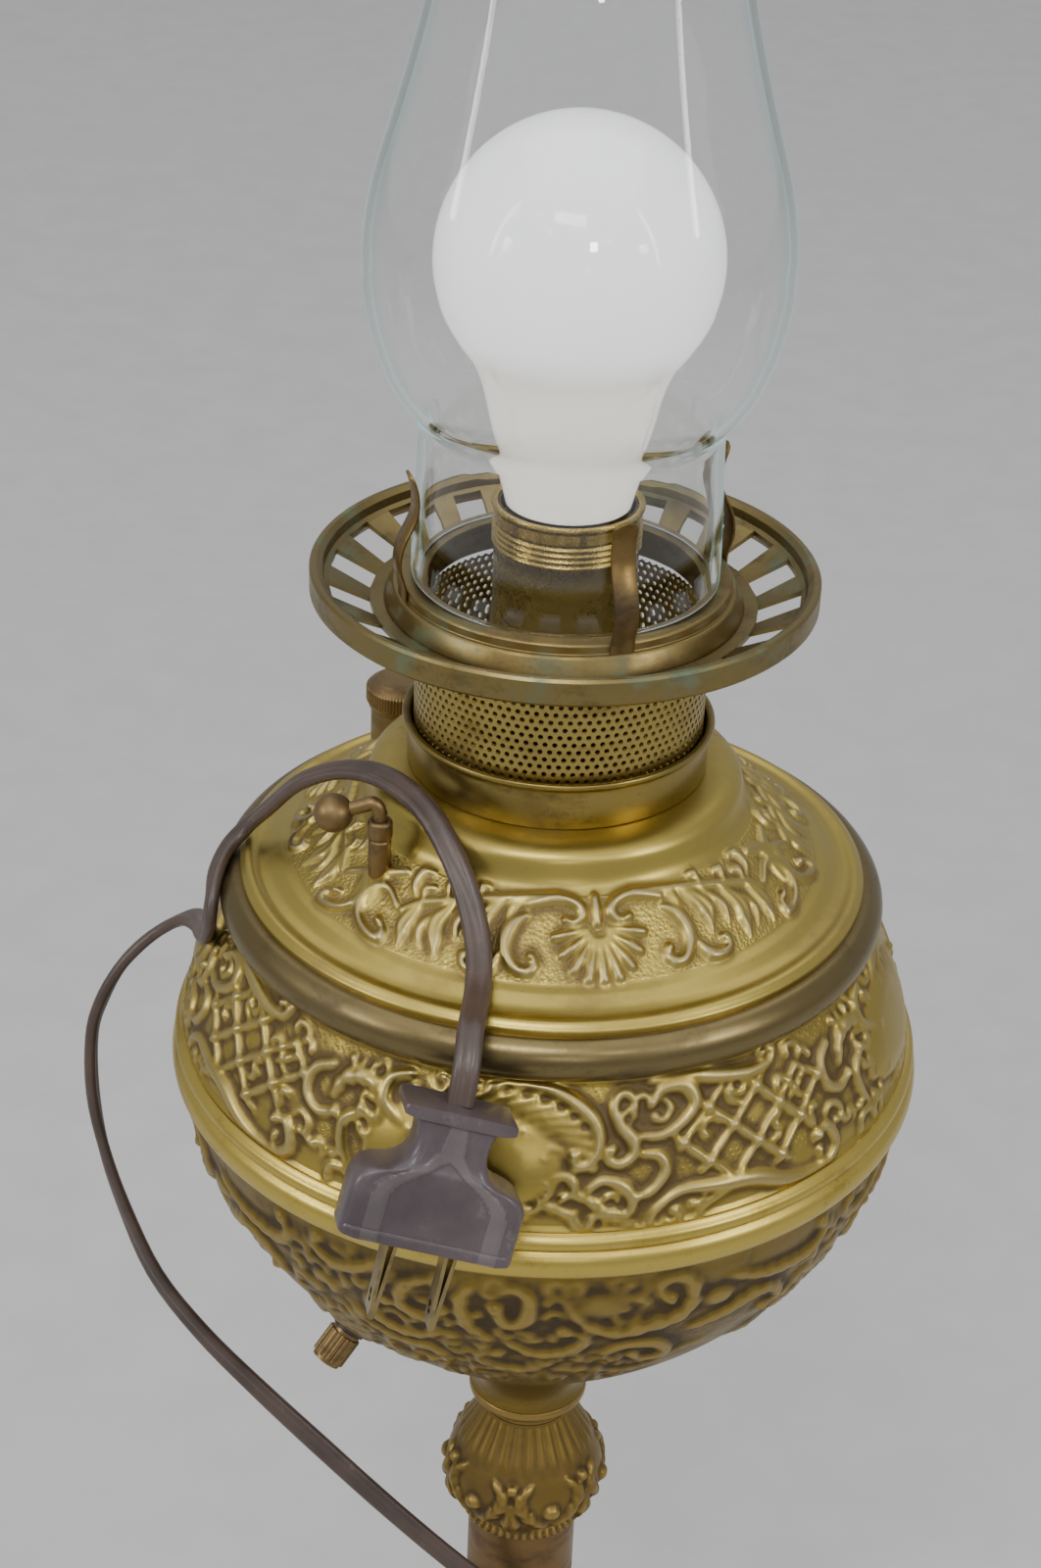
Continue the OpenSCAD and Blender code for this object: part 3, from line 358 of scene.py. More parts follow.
chimney_glass, bulb_white = clear_glass(), opal_glass()
flex_vinyl = vinyl("flex_vinyl", (0.075, 0.047, 0.036), (0.2, 0.135, 0.1), 0.34)
plug_vinyl = vinyl("plug_vinyl", (0.085, 0.063, 0.068), (0.21, 0.165, 0.155), 0.3)
plug_scuffed = vinyl("plug_scuffed", (0.115, 0.093, 0.092), (0.22, 0.185, 0.17), 0.5)
knob_black = vinyl("knob_black", (0.05, 0.037, 0.03), (0.12, 0.085, 0.06), 0.45)
steel = metal("zinc_steel", (0.55, 0.55, 0.53), (0.3, 0.29, 0.27))
blade_brass = metal("blade_brass", (0.36, 0.28, 0.13), (0.16, 0.115, 0.05), 0.24)
screw_brass = metal("screw_brass", (0.7, 0.56, 0.3), (0.42, 0.32, 0.16), 0.25)
liner_card = matte("liner_card", (0.06, 0.04, 0.03), (0.1, 0.065, 0.04))
porcelain = matte("porcelain", (0.62, 0.6, 0.54), (0.48, 0.45, 0.38), 0.3)
black_glass = matte("black_glass", (0.012, 0.012, 0.014), (0.03, 0.028, 0.03), 0.15)
cork = matte("cork", (0.3, 0.19, 0.1), (0.16, 0.09, 0.045), 0.8, 900)
tie_paper = matte("tie_paper", (0.72, 0.69, 0.6), (0.58, 0.54, 0.45), 0.7, 1200)
for node, material in {
    "column_tube": column_brass, "tie_pipe": steel, "tie_nuts": steel, "tie_washers": steel,
    "font_bottom": band_brass, "draught_tube": burner_brass, "wick_tube": burner_brass,
    "wick_carrier": burner_brass, "filler_neck": font_brass, "filler_gasket": cork,
    "gallery_ring": gallery_brass, "bulb_screw_shell": screw_brass, "bulb_insulator": black_glass,
    "bulb_contact": steel, "socket_liner": liner_card, "socket_screw_shell": screw_brass,
    "socket_insulator": porcelain, "socket_contact": screw_brass, "socket_cap": socket_brass,
    "adapter_plate": burner_brass, "nipple": steel, "nipple_nuts": steel, "switch_body": knob_black,
    "switch_nut": small_brass, "switch_shaft": small_brass, "switch_knob": small_brass,
    "inner_lead": flex_vinyl, "coil_tie": tie_paper, "plug_blade_left": blade_brass,
    "plug_blade_right": blade_brass,
}.items():
    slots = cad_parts[node].data.materials
    if not len(slots):
        slots.append(material)
    for i in range(len(slots)):
        slots[i] = material
print("materials:", len(bpy.data.materials))

# %% [markdown]
# ## Mesh helpers
# Nearly every part of a lamp is spun on a lathe. `lathe` turns a closed outline of (radius,
# height) points round the axis, and `softened` first rounds the outline's corners, since no
# spun or turned edge is razor sharp.


# %% Mesh helpers
def curve(a, b, c, d, n=12):
    """Points on a cubic from a to d, pulled by b and c."""
    t = np.linspace(0, 1, n)[:, None]
    a, b, c, d = (np.array(p, float) for p in (a, b, c, d))
    return [
        tuple(p)
        for p in (1 - t) ** 3 * a + 3 * (1 - t) ** 2 * t * b + 3 * (1 - t) * t * t * c + t**3 * d
    ]


def softened(points, size, closed=True):
    """The outline with each corner cut to a short curve of about that size."""
    pts = [np.array(p, float) for p in points]
    pts = [p for i, p in enumerate(pts) if i == 0 or np.linalg.norm(p - pts[i - 1]) > 1e-6]
    count, out = len(pts), []
    for i, p in enumerate(pts):
        if not closed and i in (0, count - 1):
            out.append(tuple(p))
            continue
        before, after = pts[i - 1] - p, pts[(i + 1) % count] - p
        la, lb = np.linalg.norm(before), np.linalg.norm(after)
        turn = 1 + float(before @ after) / max(la * lb, 1e-9)
        if turn < 0.02:
            out.append(tuple(p))
            continue
        a, b = p + before / la * min(size, la * 0.4), p + after / lb * min(size, lb * 0.4)
        for t in (0, 0.33, 0.67, 1):
            out.append(tuple((1 - t) ** 2 * a + 2 * t * (1 - t) * p + t * t * b))
    return out


def add_mesh(name, verts, faces, body, material, replaces=(), angle=40, values=None):
    """Makes an object from millimetre points, rides it on a body and hides the parts it replaces."""
    mesh = bpy.data.meshes.new(name)
    verts = np.asarray(verts, float) * MM
    mesh.from_pydata(verts.tolist() if len(verts) < 9 else verts, [], faces)
    for key, data in (values or {}).items():
        mesh.attributes.new(key, "FLOAT", "POINT").data.foreach_set(
            "value", np.asarray(data, np.float32).ravel()
        )
    mesh.validate()
    mesh.shade_smooth()
    mesh.set_sharp_from_angle(angle=math.radians(angle))
    materials = material if isinstance(material, (list, tuple)) else [material]
    for m in materials:
        mesh.materials.append(m)
    obj = bpy.data.objects.new(name, mesh)
    bpy.context.scene.collection.objects.link(obj)
    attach(obj, body)
    if replaces:
        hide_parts(*replaces)
    return obj


def grid_faces(rows, columns, wrap_rows=False, wrap_columns=True):
    """Quads over a grid of points, row by row."""
    r = np.arange(rows if wrap_rows else rows - 1)[:, None]
    c = np.arange(columns if wrap_columns else columns - 1)[None, :]
    r2, c2 = (r + 1) % rows, (c + 1) % columns
    return np.stack(
        [r * columns + c, r * columns + c2, r2 * columns + c2, r2 * columns + c], -1
    ).reshape(-1, 4)


def spin(profile, steps):
    """Points of a profile turned about Z, one row for each profile point."""
    p = np.asarray(profile, float)
    a = np.linspace(0, 2 * np.pi, steps, endpoint=False)
    return np.stack(
        [p[:, :1] * np.cos(a), p[:, :1] * np.sin(a), np.repeat(p[:, 1:], steps, 1)], -1
    ).reshape(-1, 3)


def lathe(name, profile, body, material, replaces=(), steps=192, angle=40, move=None, closed=True):
    verts = spin(profile, steps)
    if move is not None:
        verts = verts @ np.array(move.to_3x3()).T + np.array(move.translation)
    faces = grid_faces(len(profile), steps, wrap_rows=closed)
    return add_mesh(name, verts, faces, body, material, replaces, angle)


def walled(outer, wall):
    """A closed outline from an outer one that runs upwards and a wall."""
    p = np.asarray(outer, float)
    d = np.gradient(p, axis=0)
    n = np.stack([d[:, 1], -d[:, 0]], 1) / np.linalg.norm(d, axis=1)[:, None]
    inner = p - n * wall
    inner[:, 0] = np.maximum(inner[:, 0], 0)
    return [tuple(q) for q in p] + [tuple(q) for q in inner[::-1]]


def frames_along(points, facing):
    """For each point of a route: the direction, the flat side's width direction and its outward one."""
    p, f = np.asarray(points, float), np.asarray(facing, float)
    d = np.gradient(p, axis=0)
    d /= np.linalg.norm(d, axis=1)[:, None]
    across = np.cross(d, f)
    across /= np.linalg.norm(across, axis=1)[:, None]
    return d, across, np.cross(across, d)


def smooth_route(points, per=6):
    """A smooth line through the route's points."""
    p = np.asarray(points, float)
    out = []
    for i in range(len(p) - 1):
        a, b, c, d = p[max(i - 1, 0)], p[i], p[i + 1], p[min(i + 2, len(p) - 1)]
        for t in np.arange(per) / per:
            out.append(
                0.5
                * (2 * b + (c - a) * t + (2 * a - 5 * b + 4 * c - d) * t * t + (3 * b - a - 3 * c + d) * t**3)
            )
    return np.array(out + [p[-1]])


# %% [markdown]
# ## The flex
# A flat two-core lamp flex leaves the foot at the back, is wound into a coil that a tie holds,
# climbs the back of the foot, winds round the column, swings out to the left, lies over the bead
# and the font and ends in its plug. Each point of the route is a place in millimetres and the
# direction that the flat side faces, so the strip can twist on its way. The section is two round
# cores side by side with a groove between them.

# %% Flex
FLEX = [
    (-16.3, -87, 393.3, 0, -1, 0.4), (-15.3, -83.6, 400.4, 0, -1, 0.6), (-14.9, -77, 405.2, 0, -0.5, 1),
    (-14.4, -69.5, 405.6, 0, -0.2, 1), (-14.1, -62, 407, 0, -0.5, 1), (-14.6, -55, 411, 0, -0.7, 1),
    (-17, -47.2, 417.4, -0.2, -0.7, 0.8), (
        -21.6, -39.2, 424.4, -0.4, -0.7, 0.7
    ), (-27.8, -29.9, 429.4, -0.4, -0.5, 1),
    (-36.8, -20, 430.8, -0.4, -0.3, 1), (-46.5, -12.5, 428.2, -0.5, 0, 1), (-56.5, -7.5, 422, -0.7, 0, 1),
    (-64, -3, 412.6, -0.8, 0, 0.8), (-69.6, -0.5, 405.6, -0.6, 0, 1), (-73.6, -3.5, 401.9, -0.8, -0.1, 0.8),
    (-75.6, -10, 399.2, -1, -0.2, 0.6), (-76, -15.4, 395.4, -1, -0.3, 0.1), (
        -76.6, -17.6, 390.2, -1, -0.3, 0.1
    ),
    (-77.8, -15, 385.6, -1, -0.3, 0.3), (
        -79.2, -9.4, 382.8, -1, -0.1, 0.6
    ), (-80.9, -2.8, 380.7, -0.9, 0, 0.8),
    (-84.4, 3, 377.9, -0.7, 0.5, 0.8), (-89.7, 5.8, 373.5, -0.7, 0.5, 0.8), (-95.6, 6, 368.4, -0.8, 0.3, 0.7),
    (-101.2, 4.6, 362, -0.9, 0.2, 0.5), (-105.6, 2.6, 353.6, -1, 0.2, 0.2), (-107.9, 0.5, 345, -1, 0, 0),
    (-107.6, -3.5, 331.6, -1, 0, 0), (-105, -6.5, 317.2, -1, -0.3, 0), (-100.4, -9, 302, -1, -0.6, -0.2),
    (
        -92.8, -12, 283.6, -0.6, -0.9, -0.4
    ), (-81.5, -14.5, 267.8, -0.3, -1, -0.3), (-67.5, -16.8, 252.6, -0.1, -1, -0.2),
    (-50.5, -18.8, 235, 0, -1, 0), (-33, -20, 216.6, 0, -1, 0), (-15.1, -20.5, 198.6, 0, -1, 0),
    (1, -19.2, 183, 0, -1, 0), (13.5, -14, 167, 0.6, -0.8, 0), (19.3, -2, 149, 1, 0, 0),
    (15.5, 12, 131, 0.8, 0.6, 0), (5.5, 21, 113, 0.2, 1, 0), (-3.5, 26.8, 96, -0.1, 1, 0.2),
    (-11, 30, 78, -0.3, 1, 0.1), (-16.5, 35, 60.5, -0.4, 1, 0.2), (-18.3, 42.5, 46, -0.4, 0.8, 0.7),
    (-15.5, 53, 36, -0.2, 0.5, 1), (-9.3, 65, 29.5, 0, 0.3, 1), (-1.5, 76, 26, 0, 0.4, 1),
    (6, 84.8, 19.6, 0, 0.9, 0.7), (13.5, 89.6, 11.6, -0.3, 0.6, 1),
]
TAIL = [
    (-11, 126.5, 3.2, 0, 0, 1), (-23, 118.5, 3, 0, 0, 1), (-37, 114.5, 3, 0, 0, 1), (-51, 113, 3, 0, 0, 1),
    (-62, 110.5, 3.8, 0, 0, 1), (-69, 104.5, 6, 0, 0, 1), (-68.8, 97.2, 8.8, 0, 0, 1),
    (-63.8, 91, 10.9, 0, 0, 1),
]
flex_w, turn_rise, turns, turn_points = 5.8, 2.8, 4.6, 26
low, high = span("flex_coil")
coil_x, coil_y = (low[:2] + high[:2]) / 2
coil_mid = (high[0] - low[0]) / 2 - (high[2] - low[2]) / 2
# The turns lie two abreast, each pair on the one below, and wander a little as hand-wound turns do
steps = np.arange(0, turns * turn_points) / turn_points
turned = np.radians(-90) + steps * 2 * np.pi
lane = np.interp(steps, [0, 0.8, 1.2, 2.6, 3.0, turns], [0, 0, 1, 1, 0, 0])
layer = np.interp(steps, [0, 1.7, 2.2, 3.7, 4.2, turns], [2, 2, 1, 1, 0, 0])
coil_r = coil_mid - 2.6 + lane * 5.4 + 0.3 * np.sin(3 * turned)
coil = np.stack(
    [coil_x + coil_r * np.cos(turned), coil_y + coil_r * np.sin(turned), 2 + layer * turn_rise], 1
)
coil = [(*p, 0, 0, 1) for p in coil]
line = smooth_route(FLEX + coil + TAIL, 4)
points, facing = line[:, :3], line[:, 3:]
_, across, out = frames_along(points, facing)
core_x, core_r = 1.45, 1.4
half = [
    (core_x + core_r * math.cos(a), core_r * math.sin(a))
    for a in np.radians([-115, -75, -35, 0, 35, 75, 115])
]
section = np.array(half + [(0, 0.85)] + [(-x, y) for x, y in half[::-1]] + [(0, -0.85)])
verts = (
    points[:, None] + across[:, None] * section[None, :, :1] + out[:, None] * section[None, :, 1:]
).reshape(-1, 3)
faces = grid_faces(len(points), len(section)).tolist()
faces += [
    list(range(len(section)))[::-1], [(len(points) - 1) * len(section) + i for i in range(len(section))]
]
flex = add_mesh(
    "flex_cord", verts, faces, "lamp", flex_vinyl, ("flex", "flex_coil", "flex_tail"), 60
)
length = float(np.linalg.norm(np.diff(points, axis=0), axis=1).sum())
print("flex length in mm:", round(length))

# %% [markdown]
# ## Relief as a height field
# The brass sheets are stamped with rococo ornament. A `Relief` lays a fine grid over a spun
# surface, for one repeat of the pattern, and keeps a height in millimetres at each point.
# Ornament is drawn with strokes: a rounded ridge along a smooth line, wider or narrower on the
# way, plain or feathered like an acanthus leaf. A stroke's points are (X, Y), where X runs round
# the lamp and Y runs up the sheet, both in millimetres on its surface.


# %% Relief helpers
def resampled(points, step):
    """The outline's points at an even spacing."""
    p = np.asarray(points, float)
    arc = np.concatenate([[0], np.cumsum(np.linalg.norm(np.diff(p, axis=0), axis=1))])
    t = np.linspace(0, arc[-1], int(arc[-1] / step) + 1)
    return np.stack([np.interp(t, arc, p[:, 0]), np.interp(t, arc, p[:, 1])], 1)


def blurred(h, n):
    """A soft average over about n cells each way; the columns wrap round."""
    for _ in range(2):
        h = sum(np.roll(h, k, 1) for k in range(-n, n + 1)) / (2 * n + 1)
        padded = np.pad(h, ((n, n), (0, 0)), "edge")
        h = sum(padded[n + k : n + k + len(h)] for k in range(-n, n + 1)) / (2 * n + 1)
    return h


def smoothstep(low, high, value):
    t = np.clip((value - low) / (high - low), 0, 1)
    return t * t * (3 - 2 * t)


class Relief:
    """Heights over one repeat of a spun surface's pattern."""

    def __init__(self, profile, repeats, columns, step, origin=0.0):
        self.p = resampled(profile, step)
        self.repeats, self.sector = repeats, 2 * np.pi / repeats
        self.step = step
        self.y = np.arange(len(self.p)) * step - origin
        self.y = self.y[:, None] + np.zeros((1, columns))
        self.az = (np.arange(columns) + 0.5) / columns * self.sector - self.sector / 2
        self.x = self.az[None] * self.p[:, :1]
        self.h = np.zeros(self.x.shape)

    def stroke(self, points, width=1.2, height=1.5, feather=0, vein=0.0, mirror=False, boss=0.0):
        """A ridge along the points; width may be a list that runs from the first to the last."""
        if mirror:
            self.stroke([(-x, y) for x, y in points], width, height, feather, vein, False, boss)
        line = smooth_route(points, 5)
        run = np.concatenate([[0], np.cumsum(np.linalg.norm(np.diff(line, axis=0), axis=1))])
        widths = np.atleast_1d(width).astype(float)
        reach = widths.max() * 1.05
        a, d = line[:-1], np.diff(line, axis=0)
        square = np.maximum((d * d).sum(1), 1e-9)
        for k in (-1, 0, 1):
            x = self.x + k * self.sector * self.p[:, :1]
            near = (x > line[:, 0].min() - reach) & (x < line[:, 0].max() + reach)
            near &= (self.y > line[:, 1].min() - reach) & (self.y < line[:, 1].max() + reach)
            if not near.any():
                continue
            q = np.stack([x[near], self.y[near]], 1)[:, None]
            t = np.clip(((q - a) * d).sum(2) / square, 0, 1)
            gap = q - (a + d * t[..., None])
            away = np.linalg.norm(gap, axis=2)
            best = away.argmin(1)
            row = np.arange(len(best))
            s = (run[best] + t[row, best] * np.sqrt(square[best])) / run[-1]
            side = np.sign(d[best, 0] * gap[row, best, 1] - d[best, 1] * gap[row, best, 0])
            wide = np.interp(s, np.linspace(0, 1, len(widths)), widths)
            rise = np.interp(s, np.linspace(0, 1, len(widths)), 0.45 + 0.55 * widths / widths.max())
            across = away[row, best]
            if feather:
                lobe = np.abs(np.sin(np.pi * (feather * s - 0.55 * across / reach)))
                wide = wide * (0.72 + 0.28 * lobe)
                rise = rise * (
                    0.68 + 0.32 * lobe * np.clip(across / wide * 2, 0, 1) + 0.2 * (across < wide * 0.25)
                )
            u = np.clip(across / wide, 0, 1)
            h = height * rise * np.sqrt(1 - u * u) * (1 - vein * np.exp(-((u / 0.3) ** 2)) * (side != 0))
            self.h[near] = np.maximum(self.h[near], h)
        if boss:
            self.dome(*points[-1], boss, height * 1.2)
        return self

    def dome(self, x0, y0, size, height, squash=1.0, power=0.5):
        """A rounded boss; squash makes it an oval."""
        for k in (-1, 0, 1):
            x = self.x + k * self.sector * self.p[:, :1]
            q = ((x - x0) / size) ** 2 + ((self.y - y0) / (size * squash)) ** 2
            self.h = np.maximum(self.h, height * np.clip(1 - q, 0, 1) ** power)
        return self

    def fill(self, count, low, high, size, height):
        """Small scrolls and leaves in the empty places between low and high."""
        reach = self.sector * self.p[:, 0].mean() / 2
        for _ in range(count):
            x0, y0, turn = rng.uniform(-reach, reach), rng.uniform(low, high), rng.uniform(0, 2 * np.pi)
            r, way, sweep = size * rng.uniform(0.7, 1.25), rng.choice((-1, 1)), rng.uniform(2.6, 5.0)
            spot = (np.abs(self.x - x0) < r) & (np.abs(self.y - y0) < r)
            if not spot.any() or self.h[spot].mean() > 0.3 * height:
                continue
            t = np.linspace(0, 1, 7)
            a, rr = turn + way * sweep * t, r * (1 - 0.55 * t)
            points = [(float(x0 + q * np.cos(b)), float(y0 + q * np.sin(b))) for q, b in zip(rr, a)]
            self.stroke(
                points, [0.5, 0.34 * size, 0.28 * size], height, int(rng.choice((0, 4))), 0, False,
                0.34 * size
            )
        return self

    def mesh(self, name, az0, wall, body, material, slot, node, sink=0.8, edge=2.5, angle=60, fine=0.0):
        """Turns the heights into a closed sheet and replaces the node; fine roughens its ground."""
        h = blurred(np.tile(self.h, (1, self.repeats)), 1)
        n = h.shape[1]
        y = self.y[:, :1] - self.y[0, 0]
        fade = smoothstep(0, edge, y) * smoothstep(0, edge, y[-1] - y)
        low = blurred(h, max(3, int(1.4 / self.step)))
        # cavity: a point's height against its surroundings; the brass darkens low places by it, partly as
        # painted shade
        cavity = np.clip(0.5 + (h - low) * 0.95 + 0.06 * np.clip(h, 0, 2), 0, 1)
        cavity = 0.5 + (cavity - 0.5) * np.clip(fade * 1.5, 0, 1)
        ground = (h < 0.1) * fade
        lift = (h - sink * (self.h.max() > 0)) * fade + fine * rng.normal(0, 1, h.shape) * ground
        d = np.gradient(self.p, axis=0)
        d /= np.linalg.norm(d, axis=1)[:, None]
        r = self.p[:, :1] + d[:, 1:] * lift
        z = self.p[:, 1:] - d[:, :1] * lift
        inner = walled(self.p, wall)[len(self.p) :][:: max(1, len(self.p) // 10)] + [walled(self.p, wall)[-1]]
        inner = np.array(inner)
        r = np.concatenate([r, np.repeat(inner[:, :1], n, 1)])
        z = np.concatenate([z, np.repeat(inner[:, 1:], n, 1)])
        a = math.radians(az0) + (np.arange(n) + 0.5) / n * 2 * np.pi - self.sector / 2
        verts = np.stack([r * np.cos(a), r * np.sin(a), z], -1).reshape(-1, 3)
        pad = np.full((len(inner), n), 0.5)
        values = {"cavity": np.concatenate([cavity, pad]), "ground": np.concatenate([ground, pad * 0])}
        return add_mesh(
            name, verts, grid_faces(len(r), n, True), body, material, (node,), angle, values
        )


# %% [markdown]
# ## The urn's shell
# Between the band and the bead: plain egg-shaped cartouches with a fluted fan curling over them,
# scrolls beside them, and trellis panels in between, four times round the lamp.

# %% Urn shell
bead_r, bead_t = radius("urn_bead") - 5.6, 5.6
urn_r = radius("urn_shell") + 0.2
shell_low, shell_high = (v[2] for v in span("urn_shell"))
shell_line = curve(
    (urn_r - 0.2, shell_low), (
        urn_r - 0.7, shell_low + 9
    ), (bead_r + 8, shell_high - 9), (bead_r + 2.5, shell_high), 40
)
shell = Relief(shell_line, 4, 300, 0.42)
hatch = 0.22 * np.abs(np.sin(np.pi * shell.x / 1.3)) * smoothstep(7, 2, shell.y)
grain_lines = 0.16 * np.abs(np.sin(np.pi * (shell.x + 0.6 * shell.y) / 1.7))
# The trellis is two sets of slanting bars with a knot where they cross, cut off at the panel's edge
bars = np.zeros_like(shell.h)
mid_x, mid_y, pitch_u, pitch_v = 58.7, 18.5, 8.1, 8.6
panel = [(43, 21), (50, 27.5), (62, 27), (75, 25.5), (84.5, 21.5), (83, 10), (75, 3), (60, 7.5), (50, 8.5)]
for k in (-1, 0, 1):
    x = shell.x + k * shell.sector * shell.p[:, :1]
    inside = np.full(x.shape, 9.0)
    for (ax, ay), (bx, by) in zip(panel, panel[1:] + panel[:1]):
        size = math.hypot(bx - ax, by - ay)
        inside = np.minimum(inside, -((bx - ax) * (shell.y - ay) - (by - ay) * (x - ax)) / size)
    u = ((x - mid_x) * 6.9 + (shell.y - mid_y) * 9.4) / 11.7 / pitch_u
    v = ((x - mid_x) * 6.2 - (shell.y - mid_y) * 5.0) / 8.0 / pitch_v
    du, dv = np.abs(u - np.round(u)) * pitch_u, np.abs(v - np.round(v)) * pitch_v
    bar = 1.35 * np.sqrt(np.clip(1 - (np.minimum(du, dv) / 0.95) ** 2, 0, 1))
    knot = 1.9 * np.sqrt(np.clip(1 - (du**2 + dv**2) / 1.7**2, 0, 1))
    bars = np.maximum(bars, np.maximum(bar, knot) * (inside > 0))
shell.h = np.maximum(shell.h, bars)
for points, width, height, feather, boss in [
    (
        [
            (3.5, 30.6), (9.1, 31.6), (15.7, 30.9), (21.9, 27.8), (26.6, 23.4), (27.9, 18.5), (26, 15),
            (23.4, 14.6), (22.7, 17)
        ],
        [0.9, 1.5, 1.9, 1.7, 1.2], 2.2, 0, 1.3
    ),
    ([(-13.7, 29.7), (-18, 27.7), (-19.1, 23.2), (-15.8, 20), (-12, 18.5)], [1.2, 1.7, 1.3], 1.9, 0, 1.4),
    (
        [
            (33.9, 28.2), (32.4, 29.5), (30.7, 28.9), (30.2, 26.1), (32.1, 22.7), (35.1, 19.6),
            (35.5, 16.3), (32.7, 14.7), (29.8, 16.3), (30.8, 17.9)
        ],
        [0.9, 1.2, 1.7, 1.5, 1.0], 1.9, 0, 1.2
    ),
    ([(37.6, 16.4), (41.6, 15.5), (43.3, 12), (40.7, 8.1), (37.4, 7.2)], [0.9, 1.5, 1.0], 1.6, 0, 1.2),
    (
        [(26.7, 9.4), (29.8, 11.4), (34.2, 9.8), (36.6, 6.5), (35.6, 3.5), (32.2, 4.3)],
        [1.0, 1.6, 1.0], 1.7, 0, 1.2
    ),
    ([(22.7, 8.6), (27.8, 6.8), (32.3, 2.9), (37.3, 0.8)], [0.8, 1.8, 0.8], 1.6, 5, 0),
    ([(14.2, 3), (17.2, 5.8), (21.5, 4.6), (25.9, 1.5)], [0.8, 1.5, 0.8], 1.5, 4, 0),
    ([(18.9, 12), (22.3, 12.4), (23.8, 9.4), (21.5, 7.7)], [0.9, 1.3, 0.9], 1.5, 0, 1.1),
    (
        [(36.2, 20.3), (41, 19.7), (45.6, 21.7), (48.3, 25.2), (45.5, 29.3), (40.2, 29.4), (38.3, 26.8)],
        [0.8, 1.6, 2.0, 1.3], 2.0, 0, 1.3
    ),
    (
        [(37.7, 31.3), (44.3, 31.6), (53, 29.6), (61.2, 28.2), (67.1, 28.7), (67.3, 31.3), (64.5, 31.2)],
        [1.0, 1.9, 1.6, 1.0], 1.9, 0, 1.2
    ),
    (
        [
            (40.7, 0.6), (42, 3.6), (47.4, 7.1), (57.6, 6.5), (65.6, 5.5), (74.6, 2.0), (82, 0.6),
            (87.8, 1.2), (90.2, 4.5), (86.8, 9), (83.6, 8.4)
        ],
        [0.8, 1.2, 2.2, 2.2, 1.6, 1.7, 1.1], 2.1, 0, 1.5
    ),
    ([(51.7, 0.4), (55, 3.6), (61.6, 5.4)], [0.7, 1.5, 0.8], 1.4, 0, 0),
    ([(-33.2, 25.5), (-37.7, 23), (-39, 17.9), (-35.6, 15), (-31, 16.4)], [1.0, 1.6, 1.1], 1.8, 0, 1.3),
    (
        [(-32, 19.8), (-29.2, 24.1), (-24.3, 25.7), (-20.1, 23.8), (-20.3, 18.7), (-24.3, 19.5)],
        [1.2, 2.3, 2.2, 1.2], 2.0, 7, 1.3
    ),
    (
        [(-21, 17.2), (-24.1, 18.4), (-28.6, 15.2), (-28.4, 10.1), (-26.5, 6.4)], [0.9, 1.5, 1.5, 0.8],
        1.7, 0, 0
    ),
    ([(-25, 2.4), (-27.5, 5), (-31, 4.4), (-31.5, 1.6)], [0.8, 1.3, 0.9], 1.4, 0, 1.1),
    ([(-12, 1.6), (-8, 3.4), (-2, 2.6), (3, 4), (8, 2)], [0.8, 1.6, 0.8], 1.4, 6, 0),
]:
    shell.stroke(points, width, height, feather, 0, False, boss)
# The fan of eleven flutes that curls over the egg
for i in range(11):
    t = i / 10
    a = math.radians(92 - 96 * t)
    root = (0.5 + 20.5 * math.cos(a + 0.3), 14.8 + 10.6 * math.sin(a + 0.3))
    middle = (1.2 + 23.2 * math.cos(a + 0.12), 15 + 13 * math.sin(a + 0.12))
    shell.stroke([root, middle, (1.8 + 25.6 * math.cos(a), 15.2 + 15 * math.sin(a))], [0.5, 1.1, 1.3], 1.6)
shell.fill(160, 1.5, 30, 2.6, 1.5)
egg = np.clip(1 - ((shell.x + 0.8) / 23.2) ** 2 - ((shell.y - 14.6) / 11.6) ** 2, 0, 1)
shell.h = np.maximum(shell.h, np.minimum(2.1 * np.sqrt(egg), 1.7) * (egg > 0))
shell.h = np.maximum(shell.h, hatch + grain_lines * (shell.h < 0.1))
shell.mesh("urn_shell_relief", 259, 1, "lamp", urn_brass, "urn_brass", "urn_shell", 1.0, 1.2)
print("shell grid:", shell.h.shape)

# %% [markdown]
# ## The urn's bowl
# Below the band the sheet has fine upright flutes, broad feathered scrolls and hanging leaves,
# which die away into a plain lower bowl.

# %% Urn bowl
bowl_low, bowl_high = (v[2] for v in span("urn_bowl"))
bowl_h = bowl_high - bowl_low
neck_top = radius("neck_ring") - 0.5
hip = (urn_r * 0.488, bowl_low + bowl_h * 0.324)
bowl_line = curve(
    (neck_top, bowl_low), (neck_top + 0.3, bowl_low + bowl_h * 0.1),
    (urn_r * 0.28, bowl_low + bowl_h * 0.176), hip, 20
)
bowl_line += curve(
    hip, (urn_r * 0.73, bowl_low + bowl_h * 0.495), (urn_r * 0.965, bowl_low + bowl_h * 0.686),
    (urn_r, bowl_high), 60
)[1:]
bowl = Relief(bowl_line, 4, 220, 0.62)
bowl.y -= bowl.y[-1, 0]
flutes = 0.55 * np.abs(np.sin(np.pi * bowl.x / 2.2)) * smoothstep(-12, -3, bowl.y)
